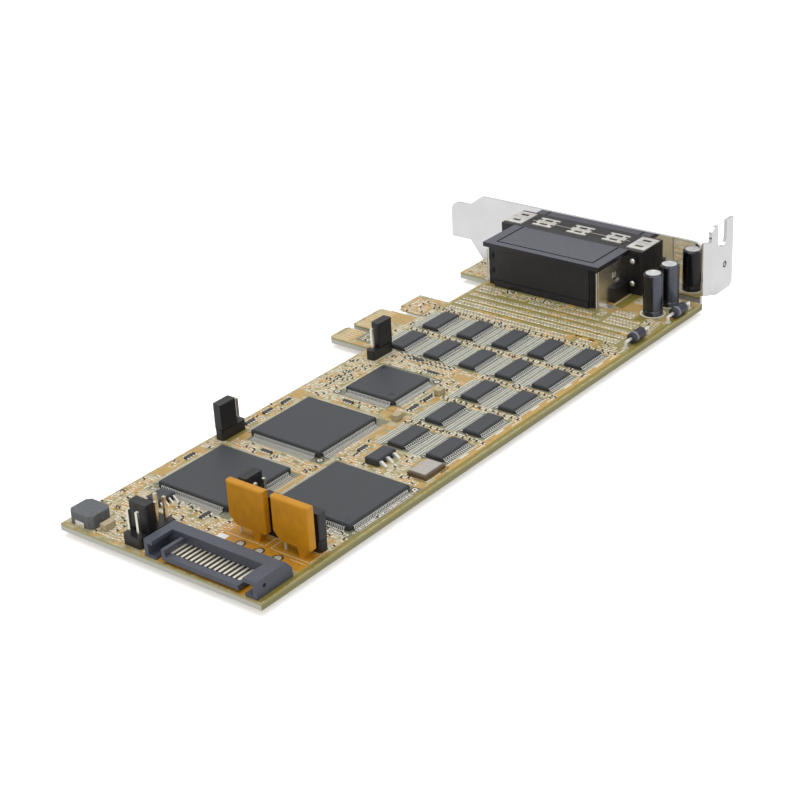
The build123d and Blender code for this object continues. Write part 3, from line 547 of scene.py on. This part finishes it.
# %% Mask fields
FIELD_STEP = 0.004
FIELDS = {
    "mask_grey": [(x - 5.5, y - 5.3, x + 5.5, y + 5.3) for x, y in TRANSCEIVERS]
    + [(x - 12.2, y - 12.2, x + 12.2, y + 12.2) for x, y in LARGE_CHIPS]
    + [(77.7, 29.0, 97.0, 46.6), (104.0, 55.8, 109.5, 62.0)],
    "mask_khaki": [(130.8, 1.5, 150.6, 55.2)],
    "mask_deep": [(0.5, 1.5, 5.5, 31.2), (12.6, 1.6, 22.0, 26.4), (152.0, 18.6, 163.0, 20.4)],
    "mask_orange": [
        (134.2, 36.0, 135.6, 38.4), (130.9, 22.4, 132.4, 24.0), (134.0, 14.2, 135.4, 16.4),
        (146.6, 48.2, 149.4, 50.0), (138.4, 12.2, 139.4, 14.0), (141.6, 24.0, 142.4, 25.4),
        (150.6, 53.0, 152.0, 55.0), (145.2, 20.6, 147.2, 23.6), (86.2, 28.8, 88.6, 30.2),
        (54.4, 25.4, 57.4, 26.8), (71.0, 52.2, 73.4, 54.8), (62.0, 1.3, 131.0, 2.9)],
    "mask_amber": [
        (33.0, 25.6, 43.0, 27.3), (43.2, 26.2, 47.5, 30.6), (54.5, 25.2, 71.5, 27.0),
        (71.0, 51.8, 74.2, 55.4), (63.4, 52.6, 66.0, 55.4), (26.0, 52.4, 34.0, 55.4),
        (35.5, 53.6, 41.0, 55.4), (17.5, 52.6, 24.0, 55.4), (98.6, 23.8, 101.6, 28.2),
        (117.5, 57.0, 123.0, 65.0), (124.4, 57.0, 133.5, 64.0), (60.0, 2.0, 131.0, 3.4),
        (52.0, 2.0, 55.0, 9.0), (47.0, 48.5, 52.0, 51.0), (152.0, 18.8, 163.0, 20.4),
        (154.6, 11.0, 158.6, 15.6), (145.2, 20.4, 147.4, 25.4), (131.4, 16.4, 134.4, 18.2),
        (131.6, 9.6, 134.6, 11.0), (145.6, 48.0, 149.4, 50.0), (147.0, 51.6, 150.0, 53.6),
        (75.0, 28.8, 80.0, 31.2), (131.4, 40.2, 135.2, 41.4), (130.6, 33.6, 132.4, 35.0)],
    "mask_olive": [
        (0.3, 0.3, 165.0, 1.3), (145.0, 26.6, 146.6, 29.4), (145.0, 31.4, 146.6, 34.2),
        (145.0, 36.0, 146.6, 38.8), (154.8, 15.6, 163.8, 18.4), (150.2, 7.2, 153.6, 9.6),
        (145.4, 44.2, 149.2, 45.6), (46.0, 51.0, 53.0, 55.4), (74.6, 25.4, 78.4, 28.4),
        (134.9, 8.0, 135.4, 54.6), (138.2, 8.0, 138.7, 54.6), (141.3, 8.0, 141.8, 54.6),
        (144.3, 8.0, 144.8, 54.6)],
}
for _ in range(60):
    x, y = random.uniform(131.0, 149.0), random.uniform(5.0, 53.0)
    FIELDS["mask_orange"].append((x, y, x + random.uniform(0.7, 1.6), y + random.uniform(0.8, 2.2)))


def flat_fields(corners, height):
    def build(bm):
        for x0, y0, x1, y1 in corners:
            block(bm, (x0 + x1) / 2, (y0 + y1) / 2, 0.0, (x1 - x0, y1 - y0, height))
    return build


for step, (finish, corners) in enumerate(FIELDS.items(), start=1):
    new_piece(f"field_{finish}", flat_fields(corners, FIELD_STEP * step), finish)

# %% [markdown]
# Pale tracks run along the card between the rows of transceivers, and a short one leaves every lead of
# the square chips. They are straight, so a strip from one place to another does for all of them. The
# same strip serves for the print further on.

# %% Tracks
def strip(bm, start, end, width, height=0.02):
    """A flat strip on the board from one place to another."""
    a, b = Vector(start), Vector(end)
    middle, span = (a + b) / 2, b - a
    size, turn = (span.length + width, width, height), math.atan2(span.y, span.x)
    bmesh.ops.create_cube(bm, size=1.0, matrix=placed(middle.x, middle.y, height / 2, size, turn))


def tracks(bm):
    for x, y in TRANSCEIVERS:
        for i in range(3):
            for side in (-1, 1):
                across = y + side * (4.05 + i * 0.66)
                if across > 3.0:
                    strip(bm, (x - 5.4, across), (x + 5.4, across), 0.32, 0.032)
    for x, y in LARGE_CHIPS:
        for i in range(36):
            offset = (i - 17.5) * 0.5
            for near, far in ((-11.9, -12.6), (11.9, 12.6)):
                strip(bm, (x + offset, y + near), (x + offset, y + far), 0.16, 0.022)
                strip(bm, (x + near, y + offset), (x + far, y + offset), 0.16, 0.022)


new_piece("tracks", tracks, "track_pale")

# %% [markdown]
# The rest of the board is crowded with small parts: bodies between two soldered ends, bare pads, plated
# holes and strokes of print. Placing thousands by hand is no use, and a texture would look printed on.
# So each region, given by two corners, is filled by rule. First come the regions and the resistor
# networks, whose places are read off one by one. Nothing is put where a CAD node or a network stands,
# except for the board, the bracket and the pins, whose boxes are far wider than they are.

# %% Regions of small parts
CROWDED = [
    (8.2, 52.6, 21.6, 55.2), (8.2, 44.4, 12.4, 52.4), (104.6, 57.6, 109.0, 61.6),
    (1.2, 38.8, 12.4, 48.0), (12.6, 24.6, 20.6, 40.6), (12.8, 48.4, 22.4, 52.4), (12.8, 41.0, 15.6, 48.0),
    (1.0, 28.8, 1.8, 36.0), (21.8, 52.2, 26.0, 55.2), (34.2, 53.0, 37.0, 55.4), (41.0, 52.2, 45.0, 55.4),
    (44.9, 31.4, 48.8, 50.8), (43.4, 25.8, 48.4, 31.0), (52.8, 22.0, 63.4, 25.0), (52.6, 9.4, 55.2, 21.6),
    (55.4, 9.6, 63.4, 13.6), (52.4, 3.4, 55.0, 9.4), (55.0, 25.4, 63.0, 27.2), (54.6, 51.4, 71.0, 55.4),
    (74.6, 31.4, 77.6, 51.0), (75.0, 47.8, 96.8, 55.4), (96.6, 28.8, 104.2, 48.6), (78.6, 24.0, 90.0, 28.8),
    (92.6, 23.2, 98.6, 28.6), (101.8, 23.2, 104.0, 28.6), (104.6, 55.2, 117.4, 57.4),
    (23.0, 27.2, 29.0, 28.6), (118.0, 55.4, 131.0, 57.0), (145.4, 39.2, 149.4, 48.0),
    (147.0, 25.6, 149.6, 39.0), (158.8, 11.2, 164.6, 15.4), (145.4, 2.2, 152.6, 6.8),
    (131.2, 1.8, 134.6, 8.6), (124.6, 57.6, 133.0, 63.6), (153.4, 56.4, 163.6, 64.4), (26.4, 2.2, 29.6, 8.0),
    (29.8, 53.0, 33.6, 55.2), (22.4, 1.6, 52.0, 2.6), (64.0, 55.0, 68.0, 55.6),
] + [(x + 5.6, 1.6, x + 8.0, 54.8 if x > 100 else 24.0) for x in COLUMNS]
PAIRED = [
    (145.0, 16.8, 147.2, 39.0), (147.6, 20.4, 150.0, 25.6), (144.9, 48.0, 150.2, 55.0),
    (135.5, 5.6, 138.1, 54.8), (138.8, 5.6, 141.2, 54.8), (141.9, 5.6, 144.2, 54.8),
    (145.0, 7.0, 149.8, 16.6), (150.2, 10.4, 154.4, 17.0), (131.4, 18.4, 134.6, 54.8),
    (131.4, 11.2, 134.6, 16.0), (148.0, 17.4, 152.0, 20.0)]
NETWORKS = [
    (18.8, 32.4, 0), (55.8, 53.4, 0), (68.3, 53.4, 0), (62.1, 53.6, 0), (36.2, 53.5, 0), (47.0, 40.5, 90),
    (75.8, 40.9, 90), (81.6, 26.1, 0), (87.0, 26.2, 0), (59.6, 23.4, 0), (102.6, 40.9, 90), (98.6, 33.6, 90)]
LOW_NODES = ("circuit_board", "bracket", "header_pins")
KEEP_CLEAR = [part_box(name) for name in nodes if name not in LOW_NODES]


def is_free(along, across):
    """True where no CAD node and no network stands on the board."""
    if any(abs(along - x) < 2.2 and abs(across - y) < 2.2 for x, y, _ in NETWORKS):
        return False
    x, y = (ALONG0 + along) * MM, (ACROSS0 + across) * MM
    reach = 0.5 * MM
    return not any(low.x - reach < x < high.x + reach and low.y - reach < y < high.y + reach
                   for low, high in KEEP_CLEAR)


print("marked", len(CROWDED), "crowded regions and", len(PAIRED), "of pads in rows")

# %% [markdown]
# Each kind of thing is one line of size and finish, and the lists below collect where they go before any
# mesh is made. A small part is a body between two soldered ends, a hole is a dark dot of painted shade on
# a pad. Places jitter by a fraction of a millimetre, because straight rows would show from far away.

# %% Kinds of small parts
PAD_THICK, HOLE_THICK = 0.035, 0.05
KINDS = ("pad_cream", "pad_pink", "dark_body", "brown_body", "silk_white", "mask_olive")
items = {kind: [] for kind in KINDS}


def put(finish, along, across, size, turn=0.0):
    items[finish].append((along, across, 0.0, size, turn))


def small_part(along, across, turn, body):
    """Two soldered ends and a body between them."""
    along, across = along + random.uniform(-0.15, 0.15), across + random.uniform(-0.15, 0.15)
    for side in (-1, 1):
        x, y = along + side * 0.42 * math.cos(turn), across + side * 0.42 * math.sin(turn)
        put("pad_cream", x, y, (0.34, 0.50, 0.26), turn)
    put(body, along, across, (0.42, 0.46, 0.36), turn)


def crowd(x0, y0, x1, y1):
    """Fills a region with parts, pads, holes and strokes of print."""
    across = y0 + 0.35
    while across < y1:
        along = x0 + 0.35 + random.uniform(0.0, 0.35)
        while along < x1:
            pick = random.random()
            turn = random.choice((0.0, math.pi / 2))
            if is_free(along, across):
                if pick < 0.08:
                    small_part(along, across, turn, random.choice(("dark_body", "brown_body", "brown_body")))
                elif pick < 0.38:
                    put("pad_cream", along, across, (0.6, 0.42, PAD_THICK), turn)
                elif pick < 0.50:
                    put("pad_pink", along, across, (0.7, 0.5, 0.032), turn)
                elif pick < 0.74:
                    put("silk_white", along, across, (0.8, 0.14, 0.04), turn)
                elif pick < 0.86:
                    put("pad_cream", along, across, (0.5, 0.5, PAD_THICK), turn)
                    # a pad with a dark dot of painted shade in its hole
                    put("dark_body", along, across, (0.20, 0.20, HOLE_THICK), turn)
                elif pick < 0.95:
                    put("mask_olive", along, across, (1.0, 0.3, 0.03), turn)
            along += random.uniform(0.8, 1.05)
        across += 0.74


def lattice(x0, y0, x1, y1):
    """Fills a region with regular pads, every other one with a dark dot of painted shade for its hole."""
    for row in range(int((y1 - y0) / 0.98)):
        for column in range(int((x1 - x0) / 0.86)):
            along, across = x0 + 0.4 + column * 0.86, y0 + 0.4 + row * 0.98
            if is_free(along, across):
                kind = random.choice(("pad_cream", "pad_cream", "pad_cream", "pad_pink"))
                put(kind, along, across, (random.choice((0.62, 0.44)), 0.76, PAD_THICK))
                if column % 2:
                    put("dark_body", along, across, (0.34, 0.38, HOLE_THICK))


for region in CROWDED:
    crowd(*region)
for region in PAIRED:
    lattice(*region)
print("filled the regions with", {kind: len(group) for kind, group in items.items()})

# %% [markdown]
# Some parts do stand in straight rows: one beside each column of transceivers, and a few short rows
# round the chips. Last come the networks, black blocks with four soldered ends on both long sides.

# %% Rows of parts and networks
SHORT_ROWS = [
    # from and to along the card, from and to across it
    (98.9, 98.9, 31.0, 37.0), (101.9, 103.3, 31.0, 45.0), (80.0, 92.0, 50.9, 50.9), (79.9, 83.0, 26.6, 26.6),
    (85.0, 89.5, 26.6, 26.6), (56.0, 59.0, 54.0, 54.0), (67.5, 70.0, 54.0, 54.0), (19.0, 19.0, 30.0, 36.0)]
for column in COLUMNS:
    across = 2.6
    while across < (54.0 if column > 100 else 23.0):
        small_part(column + 6.9, across, math.radians(90), "dark_body")
        across += 1.77
for x0, x1, y0, y1 in SHORT_ROWS:
    turn = 0.0 if x0 == x1 or y1 - y0 > 5 else math.radians(90)
    along = x0
    while along <= x1 + 0.01:
        across = y0
        while across <= y1 + 0.01:
            small_part(along, across, turn, "dark_body")
            across += 1.35
        along += 1.4
for along, across, degrees in NETWORKS:
    turn = math.radians(degrees)
    put("dark_body", along, across, (2.9, 0.9, 0.45), turn)
    for i in range(4):
        for side in (-1, 1):
            shift = Vector(((i - 1.5) * 0.8, side * 0.72))
            shift.rotate(Matrix.Rotation(turn, 2))
            put("pad_cream", along + shift.x, across + shift.y, (0.40, 0.60, 0.3), turn)
print("now", {kind: len(group) for kind, group in items.items()})

# %% [markdown]
# Now the lists become meshes. A mesh with many thousands of loose boxes is slow to build, so every 1500
# boxes of a kind make one piece.

# %% Pieces of small parts
BOXES_A_PIECE = 1500


def spread(group):
    def build(bm):
        for along, across, height, size, turn in group:
            block(bm, along, across, height, size, turn)
    return build


for kind, group in items.items():
    for start in range(0, len(group), BOXES_A_PIECE):
        new_piece(f"small_{kind}_{start // BOXES_A_PIECE}", spread(group[start:start + BOXES_A_PIECE]), kind)

# %% [markdown]
# Larger small parts that the eye picks out one by one: tan capacitors, the beige block beside the
# inductor, solder domes in the big holes behind the power connector and at the diodes' wires, ringed
# holes, and the grey band at one end of each diode. Domes are squashed spheres half sunk in the board,
# which needs no cutting.

# %% Larger small parts
SOLDERED = [(14.4, 8.5), (14.4, 13.5), (14.4, 18.6)]
HOLES = [(50.4, 28.0), (78.9, 46.7), (95.4, 29.9), (51.2, 2.5)]
DIODES = [(139.9, 2.4), (158.3, 1.5)]


def disc(bm, along, across, height, radius, thick):
    matrix = Matrix.Translation(spot(along, across, height + thick / 2))
    bmesh.ops.create_cone(bm, cap_ends=True, segments=20, radius1=radius * MM, radius2=radius * MM,
                          depth=thick * MM, matrix=matrix)


def dome(bm, along, across, height, size):
    bmesh.ops.create_uvsphere(bm, u_segments=20, v_segments=10, radius=0.5,
                              matrix=placed(along, across, height, size))


def tan_bodies(bm):
    block(bm, 75.1, 25.9, 0.05, (2.3, 1.7, 1.4))
    block(bm, 90.6, 25.5, 0.05, (2.3, 1.7, 1.4))
    block(bm, 4.1, 45.9, 0.05, (3.0, 1.7, 1.5))


def solder_domes(bm):
    for x, y in SOLDERED:
        dome(bm, x, y, 0.0, (1.8, 1.8, 0.45))
    for x, y in DIODES:
        for side in (-1, 1):
            dome(bm, x + side * 5.08, y, 0.0, (1.9, 1.7, 0.9))


def square_pad(bm):
    block(bm, 14.3, 23.7, 0.0, (2.4, 2.4, 0.06))


def hole_rings(bm):
    for x, y in HOLES:
        disc(bm, x, y, 0.0, 0.62, 0.05)


# Dark discs: the small middle ones are painted shade in the holes, the wider ones show as a dark ring round
# each ringed hole and each solder dome.
def hole_darks(bm):
    for x, y in HOLES:
        disc(bm, x, y, 0.0, 1.0, 0.03)
        disc(bm, x, y, 0.0, 0.26, 0.06)
    for x, y in SOLDERED:
        disc(bm, x, y, 0.0, 1.25, 0.03)


def diode_bands(bm):
    for x, y in DIODES:
        lying = Matrix.Translation(spot(x - 1.3, y, 1.5)) @ Matrix.Rotation(math.pi / 2, 4, "Y")
        bmesh.ops.create_cone(bm, cap_ends=False, segments=40, radius1=1.37 * MM, radius2=1.37 * MM,
                              depth=0.7 * MM, matrix=lying)


new_piece("tan_capacitors", tan_bodies, "beige_resin", bevel=0.08)
new_piece("solder_domes", solder_domes, "solder_dull")
new_piece("square_pad", square_pad, "solder")
new_piece("hole_rings", hole_rings, "pad_cream")
new_piece("hole_darks", hole_darks, "dark_body")
new_piece("diode_bands", diode_bands, "diode_band")

# %% [markdown]
# Small touches on the plastic parts: painted shade in the gaps between the power contacts, the closed
# tops of the jumpers, index marks on the square chips, and painted shade in the slots at the front of the
# cover and in the notches of its clips. Cutting them into the CAD part would cost faces, and from any
# normal distance a thin dark block reads as a gap in shade.

# %% Touches on the plastic parts
CHIP_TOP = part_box("port_controller_left")[1].z / MM - TOP
BRIDGE_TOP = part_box("bridge_chip")[1].z / MM - TOP
CONTACT_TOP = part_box("power_contacts")[1].z / MM - TOP + 0.01
GAP_FLOOR = 1.7
COVER_FRONT, CLIP_ALONG = 150.33, 167.9
JUMPERS = [
    # along, across, turn in degrees
    (5.23, 36.25, 90), (25.95, 25.42, 0), (21.65, 4.85, 90), (21.65, 9.93, 90), (21.65, 15.01, 90),
    (48.13, 53.35, 0), (101.67, 51.1, 0)]


# Painted shade: thin dark blocks between the power contacts, where the gaps between them fall in shade.
def contact_gap_shade(bm):
    for i in range(14):
        block(bm, 4.2, 16.4 + (i - 6.5) * 1.27, GAP_FLOOR, (4.3, 0.66, CONTACT_TOP - GAP_FLOOR))


def jumper_tops(bm):
    for x, y, degrees in JUMPERS:
        block(bm, x, y, 8.60, (3.28, 0.68, 0.23), math.radians(degrees))


def index_marks(bm):
    disc(bm, LARGE_CHIPS[1][0] - 8.2, LARGE_CHIPS[1][1] + 8.2, CHIP_TOP - 0.01, 0.75, 0.02)
    disc(bm, LARGE_CHIPS[2][0] - 8.2, LARGE_CHIPS[2][1] - 8.2, CHIP_TOP - 0.01, 0.75, 0.02)
    disc(bm, BRIDGE[0] + 5.6, BRIDGE[1] + 5.6, BRIDGE_TOP - 0.01, 0.7, 0.02)


# Painted shade: thin dark blocks in the slots at the front of the cover and in the notches of its clips.
def front_notch_shade(bm):
    block(bm, COVER_FRONT, 22.3, 0.3, (0.06, 0.5, 9.9))
    block(bm, COVER_FRONT, 53.3, 7.2, (0.06, 0.8, 1.5))
    block(bm, COVER_FRONT, 53.3, 3.0, (0.06, 0.8, 1.5))
    for y in (26.55, 37.4, 48.25):
        for side in (-1, 1):
            block(bm, CLIP_ALONG, y + side * 2.55, 12.19, (0.8, 0.8, 0.03))


new_piece("power_contact_gap_shade", contact_gap_shade, "deep_black")
new_piece("jumper_tops", jumper_tops, "black_plastic")
new_piece("index_marks", index_marks, "diode_black")
new_piece("front_notch_shade", front_notch_shade, "deep_black")

# %% [markdown]
# And on the metal parts: the bright cut edges of the cover's plates, the rivet heads behind the
# jackscrews, and the dark rim of the small hole in the bracket's tab. A rim is a flat ring: two circles,
# bridged. The same ring, lying down, marks the upright capacitors in the print.

# %% Touches on the metal parts
def ring(bm, outer, inner, segments, matrix):
    """A flat ring between two circles."""
    circles = [bmesh.ops.create_circle(bm, cap_ends=False, segments=segments, radius=radius * MM,
                                       matrix=matrix) for radius in (outer, inner)]
    edges = list({edge for circle in circles for vert in circle["verts"] for edge in vert.link_edges})
    bmesh.ops.bridge_loops(bm, edges=edges)


def plate_edges(bm):
    block(bm, 150.25, 20.45, 0.3, (0.2, 0.3, 9.9))
    block(bm, 150.25, 54.3, 0.3, (0.2, 0.2, 9.6))
    block(bm, 158.2, 20.25, 6.3, (1.6, 0.1, 1.5))


def rivet_heads(bm):
    for y in (17.9, 56.9):
        for height in (3.35, 9.45):
            dome(bm, 163.15, y, height, (0.8, 1.5, 1.5))


def tab_hole_rim(bm):
    upright = Matrix.Rotation(math.pi / 2, 4, "X")
    ring(bm, 1.05, 0.5, 24, Matrix.Translation(spot(178.15, -0.38, 7.3)) @ upright)


new_piece("plate_edges", plate_edges, "clip_metal")
new_piece("rivet_heads", rivet_heads, "can_top")
new_piece("tab_hole_rim", tab_hole_rim, "deep_black")

# %% [markdown]
# White print frames the headers, the fuses, the bridge and the upright capacitors, and runs in short
# marks along the right edge. Curves could draw it, but every line is straight or a ring, so strips and
# rings do.

# %% White print
RIGHT_MARKS = (67.5, 81.0, 95.0, 108.5, 122.0)
THIN_LINE, MARK_HEIGHT = 0.13, 0.04


def outline(bm, along, across, length, width, line=0.2):
    """Four strips round a rectangle."""
    x0, x1, y0, y1 = along - length / 2, along + length / 2, across - width / 2, across + width / 2
    corners = [(x0, y0), (x1, y0), (x1, y1), (x0, y1)]
    for start, end in zip(corners, corners[1:] + corners[:1]):
        strip(bm, start, end, line)


def print_lines(bm):
    outline(bm, 21.65, 11.2, 3.2, 18.6)
    outline(bm, 18.2, 19.0, 3.6, 10.4, THIN_LINE)
    outline(bm, 18.2, 7.05, 3.6, 10.4, THIN_LINE)
    strip(bm, (15.4, 2.0), (15.4, 6.0), THIN_LINE)
    outline(bm, 58.9, 5.3, 7.9, 6.0)
    outline(bm, 86.9, 37.8, 18.4, 18.4, 0.15)
    outline(bm, 49.4, 53.35, 8.6, 3.2)
    outline(bm, 100.4, 51.1, 8.2, 3.4)
    for x in RIGHT_MARKS:
        strip(bm, (x, 2.6), (x + 2.6, 2.6), 0.5, MARK_HEIGHT)
        strip(bm, (x + 5.2, 2.0), (x + 7.6, 2.0), 0.3, MARK_HEIGHT)
    strip(bm, (154.6, 18.5), (163.6, 18.5), 0.25, MARK_HEIGHT)
    strip(bm, (129.0, 61.2), (133.2, 61.2), 0.5, MARK_HEIGHT)
    strip(bm, (129.0, 63.4), (133.2, 63.4), 0.25, MARK_HEIGHT)


def print_rings(bm):
    for x, y in ((156.2, 7.6), (163.6, 7.2)):
        ring(bm, 3.3, 2.75, 48, Matrix.Translation(spot(x, y, 0.045)))


new_piece("white_print", print_lines, "silk_white")
new_piece("print_rings", print_rings, "silk_white")

# %% [markdown]
# The photo is a product shot on white. Turning the lamps up until the floor is white would bleach the
# card too, so the floor and the backdrop add the missing light to camera rays only. Reflections see a
# slightly greyer room. The floor adds more further out, where the lamps hardly reach, so that its far
# edge can't be told from the backdrop.

# %% Floor and backdrop
FLOAT_A, FLOAT_B = 2, 3
FLOOR_LEVEL = -1.25 * MM


def ray_strength(tree, camera_value, glossy_value, other_value):
    """A value that depends on the kind of ray: seen by the camera, in a reflection, or lighting."""
    path = tree.nodes.new("ShaderNodeLightPath")
    by_gloss, by_camera = tree.nodes.new("ShaderNodeMix"), tree.nodes.new("ShaderNodeMix")
    by_gloss.inputs[FLOAT_A].default_value = other_value
    by_gloss.inputs[FLOAT_B].default_value = glossy_value
    by_camera.inputs[FLOAT_B].default_value = camera_value
    join(tree,
         (path.outputs["Is Glossy Ray"], by_gloss.inputs[0]),
         (path.outputs["Is Camera Ray"], by_camera.inputs[0]),
         (by_gloss.outputs[0], by_camera.inputs[FLOAT_A]))
    return by_camera


floor_tree, floor_shader = new_material("floor_white")
floor_shader.inputs["Base Color"].default_value = (0.90, 0.90, 0.90, 1.0)
floor_shader.inputs["Roughness"].default_value = 0.9
floor_shader.inputs["Emission Color"].default_value = (1.0, 1.0, 1.0, 1.0)
floor_coords = floor_tree.nodes.new("ShaderNodeTexCoord")
distance = floor_tree.nodes.new("ShaderNodeVectorMath")
distance.operation = "LENGTH"
outward = value_range(floor_tree, 0.15, 0.9, 0.45, 0.70)
floor_strength = ray_strength(floor_tree, 0.45, 0.0, 0.0)
join(floor_tree,
     (floor_coords.outputs["Object"], distance.inputs[0]),
     (distance.outputs["Value"], outward.inputs["Value"]),
     (outward.outputs["Result"], floor_strength.inputs[FLOAT_B]),
     (floor_strength.outputs[0], floor_shader.inputs["Emission Strength"]))

floor_mesh = bpy.data.meshes.new("floor")
bm = bmesh.new()
bmesh.ops.create_grid(bm, x_segments=1, y_segments=1, size=1.0,
                      matrix=Matrix.Translation((0, 0, FLOOR_LEVEL)))
bm.to_mesh(floor_mesh)
bm.free()
floor_mesh.materials.append(MATERIALS["floor_white"])
floor = bpy.data.objects.new("floor", floor_mesh)
bpy.context.scene.collection.objects.link(floor)

world = bpy.data.worlds.new("studio")
bpy.context.scene.world = world
world.use_nodes = True
backdrop = world.node_tree.nodes["Background"]
backdrop.inputs["Color"].default_value = (1.0, 1.0, 1.0, 1.0)
sky_strength = ray_strength(world.node_tree, 1.0, 0.72, 0.45)
join(world.node_tree, (sky_strength.outputs[0], backdrop.inputs["Strength"]))
print("made the floor and the backdrop")

# %% [markdown]
# Two square soft lights: the key above and behind the card, which gives the short shadow under its near
# edges, and a weaker fill from the near right. Large lamps blur the shadows as a light tent does.

# %% Lights
def soft_light(name, place, size, power):
    """A square area light that is aimed at the middle of the card."""
    light = bpy.data.lights.new(name, "AREA")
    light.shape = "RECTANGLE"
    light.size = light.size_y = size
    light.energy = power
    lamp = bpy.data.objects.new(name, light)
    lamp.location = place
    lamp.rotation_euler = (Vector((0, -0.03, 0)) - Vector(place)).to_track_quat("-Z", "Y").to_euler()
    bpy.context.scene.collection.objects.link(lamp)
    print("made", name)


soft_light("key_light", (0.1, 0.1, 0.9), 0.9, 5.0)
soft_light("fill_light", (-0.7, -0.5, 0.5), 0.6, 1.4)

# %% [markdown]
# The camera stands near the card's front right, looks down at about 26 degrees and leans a little. Its
# place and turn were solved from known sizes on the card, so they are given as they came out: the
# directions that are right and up in the picture, and the place in metres.

# %% Camera
camera_data = bpy.data.cameras.new("camera")
camera_data.lens = 82.11
camera_data.sensor_width = 36.0
camera_data.clip_start = 0.01
camera_data.clip_end = 20.0
camera = bpy.data.objects.new("camera", camera_data)
right = Vector((0.614505, -0.787282, -0.050710))
up = Vector((0.376362, 0.236060, 0.895895))
turn = Matrix((right, up, right.cross(up))).transposed()
camera.matrix_world = Matrix.Translation((-0.319573, -0.277916, 0.187914)) @ turn.to_4x4()
bpy.context.scene.collection.objects.link(camera)
bpy.context.scene.camera = camera
bpy.context.scene.view_settings.view_transform = "Standard"
print("set the camera")
